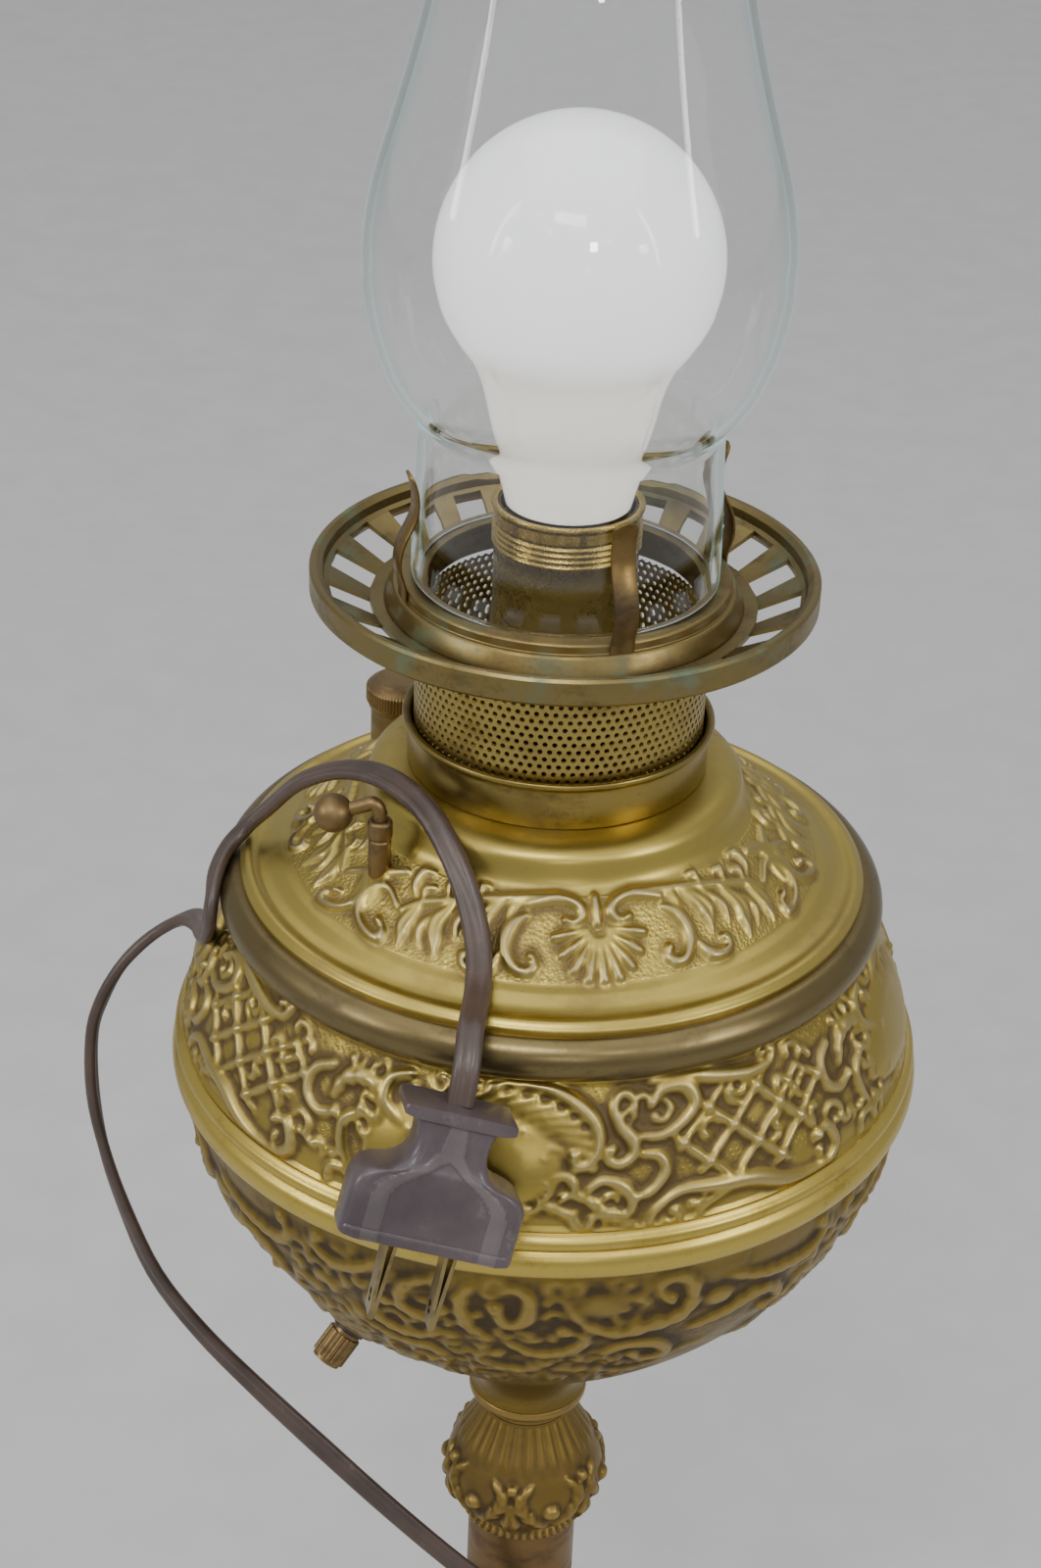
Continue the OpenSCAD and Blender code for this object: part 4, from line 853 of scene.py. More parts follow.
for points, width, height, feather, boss in [
    (
        [
            (24, -9.8), (29.1, -17.3), (35.1, -20), (40.9, -18.7), (46.8, -17.6), (51.3, -13.8),
            (52, -7.1), (49, -3.6), (45, -4), (44.4, -7.5), (46.8, -10)
        ],
        [1.4, 2.6, 3.0, 2.6, 1.8, 1.3], 2.2, 11, 1.6
    ),
    ([(12.4, -4), (15.7, -7.4), (14.7, -14.3), (10.4, -16.4), (8.1, -11.1)], [1.2, 2.2, 1.4], 2.0, 0, 1.8),
    ([(3.9, -4), (0.4, -9.9), (1.8, -18.4), (6.7, -24)], [1.0, 2.0, 2.2, 1.2], 1.9, 6, 0),
    ([(-6, -5), (-12, -9), (-13, -16), (-7, -19), (-3.5, -14.5)], [1.2, 2.4, 2.2, 1.3], 2.0, 7, 1.6),
    ([(-18, -4), (-23, -8), (-30, -10), (-35, -7), (-34, -3.8)], [1.2, 2.4, 2.0, 1.2], 1.9, 8, 1.4),
    ([(62.2, -8), (70.7, -11.4), (83.1, -12.3), (89, -8.2), (88, -4)], [1.2, 2.4, 2.6, 1.3], 2.0, 9, 1.5),
    (
        [(51.5, -24.6), (60.3, -21.4), (67.6, -18.2), (74, -20), (76, -26), (71, -28)],
        [1.2, 2.2, 2.6, 2.0, 1.2], 2.0, 10, 1.4
    ),
    (
        [(31.2, -30.1), (36, -26.4), (43, -28), (45, -34), (39.5, -36), (37.5, -32.5)],
        [1.2, 2.0, 2.2, 1.2], 1.8, 0, 1.4
    ),
    ([(10, -24), (16, -29), (24, -27), (27.5, -21.5), (23, -18.5)], [1.2, 2.4, 2.2, 1.2], 1.9, 8, 1.5),
    ([(-4, -24), (-11, -28), (-19, -25), (-21, -18.5), (-16.5, -16.5)], [1.2, 2.3, 2.2, 1.2], 1.9, 8, 1.5),
    ([(20, -33), (14, -39), (6, -38), (3.5, -32), (8, -30)], [1.2, 2.2, 2.2, 1.2], 1.7, 7, 1.4),
    ([(-24, -30), (-16, -34), (-8, -33.5), (-4, -39), (-8.5, -42)], [1.2, 2.0, 2.2, 1.2], 1.6, 7, 1.3),
    ([(27, -40), (33, -44), (40, -42), (47, -37), (55, -36)], [1.0, 2.0, 1.6, 0.8], 1.4, 8, 0),
]:
    bowl.stroke(points, width, height, feather, 0, False, boss)
bowl.fill(260, -50, -3, 3.0, 1.2)
for x in np.arange(-28, 29, 11.2):
    top = -44 - 3 * math.cos(x / 8)
    bowl.stroke([(x * 0.86, top - 16), (x * 0.93, top - 8), (x, top)], [0.4, 2.6, 3.2, 0.8], 1.3, 0, 0.5)
bowl.dome(31, -9.5, 6.4, 1.5, 0.72).dome(58.5, -14, 4.2, 1.3, 0.8)
bowl.h = np.maximum(bowl.h, flutes)
bowl.h *= smoothstep(-72, -48, bowl.y)
bowl.mesh("urn_bowl_relief", 259, 1, "lamp", shaded_bowl_brass, "urn_brass", "urn_bowl", 0.6, 1.5)
print("bowl grid:", bowl.h.shape)

# %% [markdown]
# ## The font
# The font's stamped band repeats three times: a shell-shaped palmette, scrolls, and a vine of
# drop-shaped leaves that ends in a volute. Its ground is finely stippled. The mouldings outside
# the band and the shoulder inside it are plain and polished.

# %% Font
font_low, font_high = (v[2] for v in span("font_top"))
font_rise, font_r = font_high - font_low, radius("font_top")
band_out, band_in = 60, 44.5
shoulder = font_low + font_rise * 0.657
mouldings = [
    (0, 0), (0, 1.2), (-0.6, 1.5), (-1.2, 2.3), (-2.4, 2.6), (-3.6, 2.1), (-4.4, 2), (-6.4, 2.6),
    (-9, 4.2)
]
font_line = [(font_r + x, font_low + z) for x, z in mouldings]
font_line = softened(font_line, 0.7, closed=False)
font_line += curve(
    (band_out, font_low + 5), (band_out - 5, font_low + 8.4), (band_in + 4.5, shoulder - 3.5),
    (band_in, shoulder), 30
)
font_line += curve(
    (band_in, shoulder), (band_in - 1.8, shoulder + 1.4), (band_in - 1.9, shoulder + 3),
    (band_in - 2.5, font_high - 4), 14
)[1:]
font_line += curve(
    (band_in - 2.5, font_high - 4), (band_in - 3, font_high - 1), (band_in - 6.5, font_high),
    (33.8, font_high), 14
)[1:]
font_line += [(24, font_high)]
font_arc = np.concatenate([[0], np.cumsum(np.linalg.norm(np.diff(font_line, axis=0), axis=1))])
band_start = font_arc[np.argmin(np.abs(np.array(font_line)[:, 0] - band_out))]
font_columns, font_repeats = 340, 3
font = Relief(font_line, font_repeats, font_columns, 0.4, band_start)
for a in np.radians(np.arange(-80, 81, 20)):
    tip = (9.6 * math.sin(a) * 1.02, 12.6 - 12.2 * math.cos(a))
    root = (2.2 * math.sin(a), 12.9 - 2.6 * math.cos(a))
    font.stroke(
        [root, ((root[0] + tip[0]) / 2, (root[1] + tip[1]) / 2), tip], [0.35, 0.7, 1.25, 1.05], 1.7, 0,
        0.12
    )
font.stroke([(0, 19.5), (0, 16), (0, 13.4)], [0.9, 1.2, 1.0], 1.5)
for points, width, height, feather, vein, boss in [
    (
        [(14.6, 17.3), (8.2, 19.2), (4.4, 18.2), (3, 15.9), (4.6, 13.9), (6.8, 14.2)],
        [0.9, 1.5, 1.4, 0.9], 1.6, 0, 0, 1.1
    ),
    (
        [
            (14.6, 15.2), (17.5, 13.3), (19.9, 9.7), (20.3, 6.3), (18.7, 3.2), (16.2, 2.7), (14.4, 4.3),
            (15, 6)
        ],
        [0.7, 1.7, 1.8, 1.5, 0.9], 1.7, 0, 0, 1.2
    ),
    (
        [(21.8, 6.3), (23.8, 3.2), (26.5, 1.5), (29.7, 1.8), (30.1, 4.2), (28.7, 4.7)],
        [0.7, 1.5, 1.5, 0.9], 1.6, 0, 0, 1.0
    ),
    (
        [(7.8, 20.1), (14.1, 19.1), (21.5, 17.8), (29.7, 15.6), (39.2, 12.5), (45.1, 9.1)],
        [1.1, 1.0, 0.9, 0.8], 1.2, 0, 0, 0
    ),
    ([(14.8, 17.8), (17.4, 16.6), (19.4, 13.8)], [0.5, 1.2, 0.5], 1.3, 0, 0.3, 0),
    ([(19.3, 17.4), (23.5, 14.3), (26, 10.6), (26.4, 6.7)], [0.6, 1.5, 2.3, 0.6], 1.8, 0, 0.35, 0),
    ([(25, 15.9), (28.9, 12.6), (30.9, 10.2), (31.5, 7.1)], [0.5, 0.9, 1.2, 0.5], 1.3, 0, 0, 0),
    ([(30.7, 14.4), (35.1, 10), (36.4, 6.2), (36.9, 2.3)], [0.6, 1.5, 2.2, 0.6], 1.7, 0, 0.35, 0),
    ([(34.5, 12), (38.8, 8.6), (40.6, 5.8), (40.3, 3.3)], [0.5, 0.9, 1.1, 0.4], 1.2, 0, 0, 0),
    ([(39.6, 11.5), (43.2, 7.7), (44.9, 4.9), (46, 2)], [0.6, 1.5, 1.8, 0.5], 1.6, 0, 0.35, 0),
    ([(22, 20), (23.7, 20.2), (25, 17.6)], [0.6, 0.9, 0.6], 1.2, 0, 0, 0),
    ([(29.5, 18.6), (31.9, 18.2), (32.2, 15.1)], [0.6, 1.0, 0.6], 1.2, 0, 0, 0),
    ([(35.2, 16.6), (38.1, 15.6), (38.8, 13.1)], [0.6, 1.0, 0.6], 1.2, 0, 0, 0),
    ([(35.6, 19.6), (38.3, 19), (41.1, 15.4), (40.6, 13.5)], [0.6, 1.1, 1.2, 0.6], 1.3, 0, 0, 0),
    (
        [
            (46.2, 9.9), (48.8, 12.4), (52.6, 11), (56.5, 7.7), (57.5, 4.3), (55.6, 2.1), (51.8, 1.4),
            (49.8, 3.4), (51.2, 5)
        ],
        [0.9, 1.4, 1.8, 1.4, 0.9], 1.8, 0, 0, 1.2
    ),
    ([(42.8, 17.5), (49.4, 15.1), (55.3, 11.9), (60.5, 6)], [0.7, 1.3, 1.3, 0.5], 1.4, 0, 0.2, 0),
]:
    font.stroke(points, width, height, feather, vein, True, boss)
    if boss:
        font.dome(-points[-1][0], points[-1][1], boss, height * 1.2)
font.h *= smoothstep(-1.0, 0.8, font.y) * smoothstep(22.5, 20.5, font.y)
font_obj = font.mesh("font_relief", 282, 0.9, "lamp", font_brass, "font_brass", "font_top", 0.0, 0.4, 50)
ground = font_obj.data.attributes["ground"]
values = np.zeros(len(ground.data), np.float32)
ground.data.foreach_get("value", values)
# Only the band is stippled, not the mouldings or the inside of the sheet
ring = font_columns * font_repeats
inside_rows = len(values) // ring - len(font.y)
up_sheet = np.repeat(np.concatenate([font.y[:, 0], np.full(inside_rows, -9.0)]), ring)
ground.data.foreach_set("value", values * (up_sheet > 0.3) * (up_sheet < 19.5))
print("font grid:", font.h.shape)

# %% [markdown]
# ## Turned pieces
# The band, the bead, the neck, the collar, the cup and the seat are plain turnings, spun or cut
# on a lathe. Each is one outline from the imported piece's own radius and heights, so a resized
# lamp keeps its mouldings.

# %% Turned pieces
low, high = (v[2] for v in span("urn_band"))
r = radius("urn_band") - 2.0
band = [(r, low), (r + 0.9, low + 0.6)] + curve(
    (r + 0.9, low + 0.6), (r + 2.7, low + 1.6), (r + 2.7, low + 6), (r + 0.9, low + 7.2), 12
)
band += [(r + 0.5, low + 7.8)] + curve(
    (r + 0.5, low + 7.8), (r + 1.9, low + 8), (r + 1.7, high - 1.4), (r + 0.5, high - 1), 10
)
lathe(
    "urn_band_turned", [*band, (r, high), (r - 2.2, high), (r - 2.2, low)], "lamp", band_brass,
    ["urn_band"], 256, 60
)

low, high = (v[2] for v in span("urn_bead"))
a = np.linspace(-np.pi / 2 - 0.35, np.pi / 2 + 0.2, 30)
bead = [
    (bead_r + bead_t * math.cos(t), float(np.clip(low + bead_t - 0.6 + bead_t * math.sin(t), low, high)))
    for t in a
]
lathe(
    "urn_bead_turned", [*bead, (bead_r - 4, high), (bead_r - 4, low)], "lamp", bead_bronze,
    ["urn_bead"], 256, 60
)

low, high = (v[2] for v in span("neck_ring"))
r, h = radius("neck_ring") - 3.8, high - low
neck = [(r, low)] + curve(
    (r, low), (r, low + h * 0.35), (r + 1.5, low + h * 0.55), (r + 3.4, low + h * 0.62), 10
)
neck += [(r + 3.8, low + h * 0.75), (r + 3.7, low + h * 0.95), (r + 3.3, high)]
lathe(
    "neck_ring_turned", softened([*neck, (5, high), (5, low)], 0.4), "lamp", plain_cast,
    ["neck_ring"], 128, 50
)

low, high = (v[2] for v in span("column_collar"))
h = high - low
collar = [(26, low), (26, low + 2.5)] + curve(
    (26, low + 2.5), (22, low + 3), (20, low + 5), (19, high - 3), 12
)
collar += [(19.6, high - 2), (19.6, high - 0.6), (19, high)]
lathe(
    "column_collar_turned", softened([*collar, (5, high), (5, low)], 0.4), "lamp", plain_cast,
    ["column_collar"], 160, 50
)

low, high = (v[2] for v in span("burner_cup"))
r, h = radius("burner_cup") - 1.3, high - low
cup = [(r, low), (r, high - 2.6)] + curve(
    (r, high - 2.6), (r + 0.1, high - 1.6), (r + 1.2, high - 1.6), (r + 1.3, high - 0.8), 8
)
cup += [
    (r + 1.1, high - 0.1), (r + 0.4, high), (r - 0.5, high - 0.4), (r - 0.8, high - 1.4),
    (r - 0.8, low + 1), (17.7, low + 1), (17.7, low)
]
lathe("burner_cup_turned", softened(cup, 0.35), "lamp", burner_brass, ["burner_cup"], 224, 50)

low, high = (v[2] for v in span("chimney_seat"))
r = radius("chimney_seat") - 3
groove = high - 2.2
seat = [
    (r + 3, low), (r + 2.6, low + 1.1), (r + 1.2, groove - 0.4), (r + 0.8, groove), (r, groove),
    (r, high - 0.4), (r - 0.4, high)
]
lathe(
    "chimney_seat_turned", softened([*seat, (r - 6.6, high), (r - 6.6, low)], 0.3), "lamp", seat_brass,
    ["chimney_seat"], 224, 50
)
print("turned pieces done")

# %% [markdown]
# ## Foot and knop
# Cast pieces with fuller relief: hanging leaves and a bead row on the knop, broad leaves on the
# foot's dome.

# %% Foot and knop
low, high = (v[2] for v in span("knop"))
column_r, h = radius("column_tube"), high - low
waist, knop_r = radius("neck_ring") - 3.8, radius("knop")
knop_line = [
    (column_r, low), (column_r + 1.4, low + 0.8), (column_r + 1.8, low + 2.2),
    (column_r + 1.4, low + 3.6), (column_r + 0.8, low + 4.2)
]
knop_line += curve(
    (column_r + 0.8, low + 4.2), (knop_r - 1, low + 6), (knop_r, low + h * 0.32),
    (knop_r, low + h * 0.4), 16
)[1:]
knop_line += curve(
    (knop_r, low + h * 0.4), (knop_r, low + h * 0.62), (waist + 3, low + h * 0.8), (waist, high), 24
)[1:]
knop = Relief(knop_line, 6, 90, 0.36)
for x in (-5.4, 5.4):
    knop.stroke([(x * 1.6, 12), (x, 15.5), (x * 0.4, 21), (x * 0.9, 25.5)], [0.8, 2.0, 2.2, 0.9], 1.5, 5)
knop.stroke([(0, 8.4), (0, 14), (0, 20)], [0.7, 2.7, 0.5], 1.8, 0, 0.4)
knop.dome(0, 24.5, 1.7, 1.5).dome(-10.5, 17.5, 2.2, 1.7).dome(10.5, 17.5, 2.2, 1.7)
knop.h = np.maximum(
    knop.h,
    0.45 * np.abs(np.cos(knop.az * 15)) * smoothstep(27, 31, knop.y) * smoothstep(44, 38, knop.y)
)
knop.h = np.maximum(knop.h, 0.9 * np.abs(np.sin(knop.az * 24)) * np.exp(-(((knop.y - 2.6) / 1.2) ** 2)))
knop.mesh("knop_relief", 262, knop_r * 0.2, "lamp", cast_brass, "column_brass", "knop", 0.3, 0.8)

low, high = (v[2] for v in span("base_foot"))
foot_r = radius("base_foot")
rim = [(0, 0), (0, 6.5), (-1, 8), (-4, 9), (-4, 17), (-3, 18.5), (-3, 21), (-4.5, 22.5), (-6, 23)]
foot_line = softened([(foot_r + x, low + z) for x, z in rim], 0.8, closed=False)
foot_line += curve((foot_r - 6, low + 23), (foot_r - 22, low + 27), (34, low + 32), (27, high - 4), 50)[1:]
foot_line += [(26.6, high - 0.4), (26, high), (19, high)]
foot = Relief(foot_line, 8, 120, 0.6)
for x in (0, 24):
    foot.stroke([(x, 33), (x, 44), (x, 56), (x, 68)], [0.8, 5.2, 6.4, 1.4], 1.7, 9, 0.35, x > 0)
foot.stroke([(5, 31), (9, 36), (16, 35), (18, 30.5), (14, 29.5)], [1.0, 1.8, 1.6, 1.0], 1.5, 0, 0, True, 1.4)
foot.dome(0, 74, 3, 1.5)
foot.h = np.maximum(
    foot.h,
    1.0 * np.abs(np.cos(foot.az * 36)) * smoothstep(9.5, 11, foot.y) * smoothstep(17.5, 16, foot.y)
)
foot.mesh("base_foot_relief", 270, 4.2, "lamp", cast_brass, "foot_brass", "base_foot", 0.4, 1.0)
print("foot and knop done")

# %% [markdown]
# ## The burner
# The basket is pierced sheet: rows of round holes set in a honeycomb, so light and air pass
# through. The socket shell has four rolled ridges near its lip.

# %% Burner
def pierced(low, high, radius_at, pitch, hole, wall):
    """A round sheet with real holes; each hole sits in its own six-sided cell."""
    count = round(2 * np.pi * radius_at(low) / pitch)
    rise = 2 * np.pi * radius_at(low) / count * math.sqrt(3) / 2
    rows = int((high - low) / rise)
    corner = np.radians(30 + 60 * np.arange(6))
    outer = np.stack(
        [np.cos(corner), np.sin(corner)], 1
    ) * (2 * np.pi * radius_at(low) / count) / math.sqrt(3)
    outer = np.stack([outer, (outer + np.roll(outer, -1, 0)) / 2], 1).reshape(-1, 2)
    angle = np.radians(30 + 30 * np.arange(12))
    inner = np.stack([np.cos(angle), np.sin(angle)], 1) * hole / 2
    cell = np.concatenate([outer, inner])
    i, j = np.meshgrid(np.arange(count), np.arange(rows))
    x = (i + 0.5 * (j % 2)) * 2 * np.pi / count
    z = low + (j + 0.5) * rise
    az = x[..., None] + cell[:, 0] / radius_at(low)
    zz = np.clip(z[..., None] + cell[:, 1], low, high)
    sheets = []
    for inset in (0, wall):
        r = radius_at(zz) - inset
        sheets.append(np.stack([r * np.cos(az), r * np.sin(az), zz], -1).reshape(-1, 3))
    n = count * rows
    base = (np.arange(n) * 24)[:, None, None]
    k = np.arange(12)
    quad = np.stack([k, (k + 1) % 12, 12 + (k + 1) % 12, 12 + k], 1)[None]
    front = (base + quad).reshape(-1, 4)
    back = (base + quad[..., ::-1]).reshape(-1, 4) + 24 * n
    wall_quad = np.stack([12 + k, 12 + (k + 1) % 12, 12 + (k + 1) % 12 + 24 * n, 12 + k + 24 * n], 1)[None]
    faces = np.concatenate([front, back, (base + wall_quad).reshape(-1, 4)])
    return np.concatenate(sheets), faces


low, high = (v[2] for v in span("burner_basket"))
basket_r, basket_top = 32.2, radius("chimney_seat") - 3 - 4.4
bend = low + (high - low) * 0.68
hole_pitch, hole_size, basket_wall = 2.05, 1.15, 0.6


def basket_radius(z):
    return np.interp(z, [bend, high], [basket_r, basket_top])


verts, faces = pierced(low + 0.2, high - 0.2, basket_radius, hole_pitch, hole_size, basket_wall)
add_mesh("burner_basket_pierced", verts, faces, "lamp", basket_brass, ["burner_basket"], 50)
low, high = (v[2] for v in span("socket_shell"))
r, h = radius("socket_shell") - 0.4, high - low
ridges = h - 10
shell_outline = [(r - 0.5, low), (r - 0.5, low + ridges - 1), (r - 0.3, low + ridges)]
for i in range(4):
    shell_outline += [
        (r + x, low + ridges + 1.35 * i + z)
        for x, z in ((-0.1, 0.3), (0.05, 0.6), (-0.1, 0.9), (-0.5, 1.2))
    ]
shell_outline += [
    (r - 0.2, low + ridges + 5.9), (r - 0.2, high - 1.6), (r + 0.4, high - 0.9), (r + 0.2, high - 0.1),
    (r - 0.4, high), (r - 1.2, high - 0.4), (r - 1.2, low)
]
lathe(
    "socket_shell_turned", softened(shell_outline, 0.25), "lamp", socket_brass,
    ["socket_shell"], 160, 50
)
print("holes in the basket:", len(verts) // 48)

# %% [markdown]
# ## Spring prongs
# Four strips of sprung brass hold the chimney. Each rises from the seat, bows out, comes in to
# the glass and turns out at its rounded tip.

# %% Prongs
low, high = span("prong_1")
prong_w, prong_t, seat_step, seat_lip = 5.2, 0.6, 3, 2.85
seat_r = radius("chimney_seat") - seat_step
chimney_foot = seat_r - seat_lip
foot, squeeze = seat_r + prong_t / 2, chimney_foot + 0.3 + prong_t / 2
strip = [(foot, 0), (foot, 2)] + curve((foot, 2), (foot, 4.5), (foot + 1.8, 6), (foot + 1.2, 10), 10)[1:]
strip += curve((foot + 1.2, 10), (foot + 0.6, 15), (squeeze, 17), (squeeze, 21.5), 12)[1:]
strip = np.array(
    strip
    + curve((squeeze, 21.5), (squeeze, 24.5), (squeeze + 0.6, 26.5), (squeeze + 1.8, 28.9), 14)[1:]
)
run = np.concatenate([[0], np.cumsum(np.linalg.norm(np.diff(strip, axis=0), axis=1))])
d = np.gradient(strip, axis=0)
normal = np.stack([d[:, 1], -d[:, 0]], 1) / np.linalg.norm(d, axis=1)[:, None]
left = np.clip((run[-1] - run) / (prong_w * 0.42), 0, 1)
half = prong_w / 2 * np.sqrt(1 - (1 - left) ** 2) + 0.05
loop = [
    (-1, 0.5), (-0.94, 1), (0, 1), (0.94, 1), (1, 0.5), (1, -0.5), (0.94, -1), (0, -1), (-0.94, -1),
    (-1, -0.5)
]
for index in range(4):
    az = math.radians(20 + 90 * index)
    verts = []
    for (r, z), (nr, nz), w in zip(strip, normal, half):
        for s, t in loop:
            radial, side = r + nr * t * prong_t / 2, s * w
            x, y = radial * math.cos(az) - side * math.sin(az), radial * math.sin(az) + side * math.cos(az)
            verts.append((x, y, low[2] + z + nz * t * prong_t / 2))
    n = len(loop)
    faces = grid_faces(len(strip), n).tolist() + [
        list(range(n))[::-1], list(range(len(verts) - n, len(verts)))
    ]
    add_mesh(
        f"prong_strip_{index + 1}", verts, faces, "lamp", prong_brass,
        [f"prong_{index + 1}"], 50
    )
print("prongs done")

# %% [markdown]
# ## Glass
# The chimney is blown glass with fire-polished lips: a straight fitter that the prongs hold, a
# tight shoulder, a full bulge and a long tapering stack. The bulb is a globe that flares into a
# waisted neck inside the socket. Both are thin closed shells, so light bends twice at each wall.

# %% Glass
low, high = (v[2] for v in span("chimney"))
foot_r, bulge, top_r, bulb_r = chimney_foot, radius("chimney") - 0.02, 24.8, radius("bulb_glass")
h = high - low
c = [(foot_r, 0), (foot_r, 4)] + curve(
    (foot_r, 4), (foot_r, 16), (bulb_r + 2.6, 20), (bulb_r + 2.4, 34), 20
)[1:]
c += curve((bulb_r + 2.4, 34), (bulb_r + 2.6, 38.5), (bulge - 7, 38.5), (bulge - 3.2, 50), 22)[1:]
c += curve((bulge - 3.2, 50), (bulge + 1.6, 64), (bulge + 1, 77), (bulge - 3.6, 92), 24)[1:]
c += curve((bulge - 3.6, 92), (bulge - 10, 113), (top_r + 4.5, 130), (top_r + 1.8, 160), 24)[1:]
c += curve((top_r + 1.8, 160), (top_r, 185), (top_r - 0.6, h - 30), (top_r, h), 24)[1:]
c = [(x if z < 36 else min(x, radius("chimney")), low + z) for x, z in c]
lathe(
    "chimney_blown", softened(walled(c, 1.6), 0.75), "chimney", chimney_glass,
    ["chimney"], 224, 70
)
low, high = (v[2] for v in span("bulb_glass"))
middle, neck = high - bulb_r, 13.1
b = [(neck + 0.5, low), (neck + 1.2, low + 3)]
side, drop = bulb_r * math.cos(-0.7), bulb_r * math.sin(-0.7)
b += curve(
    (neck + 1.2, low + 3), (neck + 4.3, middle - 38), (side - 5, middle + drop - 6),
    (side, middle + drop), 24
)[1:]
b += [
    (bulb_r * math.cos(t) + 0.001, middle + bulb_r * math.sin(t))
    for t in np.linspace(-0.65, np.pi / 2, 50)
]
inner = [(max(x - 0.8, 0.0005), z if z < middle else z - 0.8 * (z - middle) / bulb_r) for x, z in b[::-1]]
lathe("bulb_blown", b + inner, "bulb", bulb_white, ["bulb_glass"], 160, 60)
print("glass done")

# %% [markdown]
# ## Raiser, filler cap and strain relief
# The raiser that turned the wick up is a bent rod with a ball, in a turned guide. The filler cap
# has a knurled edge, made by pushing every other pair of its points in. The flex's strain relief
# is a tapered sleeve with ribs, so the flex can't bend sharply where it leaves the foot.

# %% Raiser and cap
def tube(name, route, r, body, material, replaces=(), sides=20):
    p = smooth_route(route, 6)
    rings, n = [], len(p)
    d = np.gradient(p, axis=0)
    d /= np.linalg.norm(d, axis=1)[:, None]
    side = np.cross(d, (0.03, 1, 0.02))
    side /= np.linalg.norm(side, axis=1)[:, None]
    other = np.cross(d, side)
    a = np.linspace(0, 2 * np.pi, sides, endpoint=False)
    for i in range(n):
        rings.append(p[i] + r * (np.cos(a)[:, None] * side[i] + np.sin(a)[:, None] * other[i]))
    verts = np.concatenate(rings)
    faces = grid_faces(n, sides).tolist() + [
        list(range(sides))[::-1], list(range((n - 1) * sides, n * sides))
    ]
    return add_mesh(name, verts, faces, body, material, replaces, 50)


(low, high), (ball_low, ball_high) = span("raiser_rod"), span("raiser_ball")
guide_low, guide_high = span("raiser_guide")
rod_x, rod_y = (guide_low[:2] + guide_high[:2]) / 2
ball = (ball_low + ball_high) / 2
ball_r = (ball_high[2] - ball_low[2]) / 2
elbow = high[2] - 1.6
route = [
    (rod_x, rod_y, low[2]), (rod_x, rod_y, low[2] + 20), (rod_x, rod_y, elbow - 6),
    (rod_x, rod_y, elbow - 3.2)
]
route += [
    (rod_x - 0.5, rod_y, elbow - 1.2), (rod_x - 1.7, rod_y, elbow - 0.25),
    (rod_x - 3.4, rod_y, elbow - 0.8), tuple(ball + (3.2, 0, 1))
]
tube("raiser_rod_bent", route, 1.6, "raiser", small_brass, ["raiser_rod"])
a = np.linspace(-np.pi / 2, np.pi / 2, 33)
ball_line = [(max(ball_r * math.cos(t), 0.0005), ball_r * math.sin(t)) for t in a]
lathe(
    "raiser_ball_turned", ball_line, "raiser", small_brass, ["raiser_ball"], 48, 60,
    Matrix.Translation(ball), False
)
low, high = guide_low, guide_high
r = (high[0] - low[0]) / 2
guide = [
    (r, low[2]), (r, high[2] - 5), (r - 0.25, high[2] - 4.7), (r - 0.25, high[2] - 4.3),
    (r + 0.25, high[2] - 4), (r + 0.25, high[2] - 0.6), (r - 0.2, high[2]), (r - 0.85, high[2]),
    (r - 0.85, low[2])
]
lathe(
    "raiser_guide_turned", softened(guide, 0.2), "lamp", small_brass, ["raiser_guide"],
    64, 50, Matrix.Translation((rod_x, rod_y, 0))
)

low, high = span("filler_cap")
r = (high[0] - low[0]) / 2
cap = [
    (r - 0.6, 0), (r - 0.6, 1.2), (r, 1.5), (r, high[2] - low[2] - 2),
    (r - 0.6, high[2] - low[2] - 1.4), (r - 2.6, high[2] - low[2]), (0.001, high[2] - low[2] + 0.01)
]
cap += [(0.001, high[2] - low[2] - 1.9), (r - 1.12, high[2] - low[2] - 2), (r - 1.12, 0)]
cap = np.array(softened(cap, 0.3))
verts = spin(cap, 288).reshape(len(cap), 288, 3)
knurl = 1 - 0.022 * (np.arange(288) % 4 < 2)
side = (cap[:, 0] > r - 0.35) & (cap[:, 1] > 1.6) & (cap[:, 1] < high[2] - low[2] - 1.6)
verts[side, :, :2] *= knurl[None, :, None]
verts = verts.reshape(-1, 3) + np.array([*(low[:2] + high[:2]) / 2, low[2]])
add_mesh(
    "filler_cap_knurled", verts, grid_faces(len(cap), 288, True), "cap", small_brass,
    ["filler_cap"], 30
)

relief = Matrix.Rotation(math.radians(125), 4, "Z") @ Matrix.Translation(
    (radius("base_foot") - 9, 0, 13.4)
) @ Matrix.Rotation(math.radians(94), 4, "Y")
sleeve = [(0.001, -3), (3.9, -3), (3.9, 8.2)]
for i in range(9):
    z, r = 9 + 2.9 * i, 3.9 - 0.085 * i
    sleeve += [(r, z), (r, z + 1.7), (r - 0.7, z + 1.9), (r - 0.7, z + 2.7)]
sleeve += [(3.1, 35.6), (3.1, 38), (0.001, 38)]
lathe(
    "strain_relief_ribbed", softened(sleeve, 0.25, False), "lamp", flex_vinyl,
    ["strain_relief"], 48, 40, relief, False
)
print("small pieces done")

# %% [markdown]
# ## The plug
# A moulded flat plug. Its outline is drawn once; every cross-section is a rounded block whose
# face carries the raised band that forks from the neck and runs down both sides.

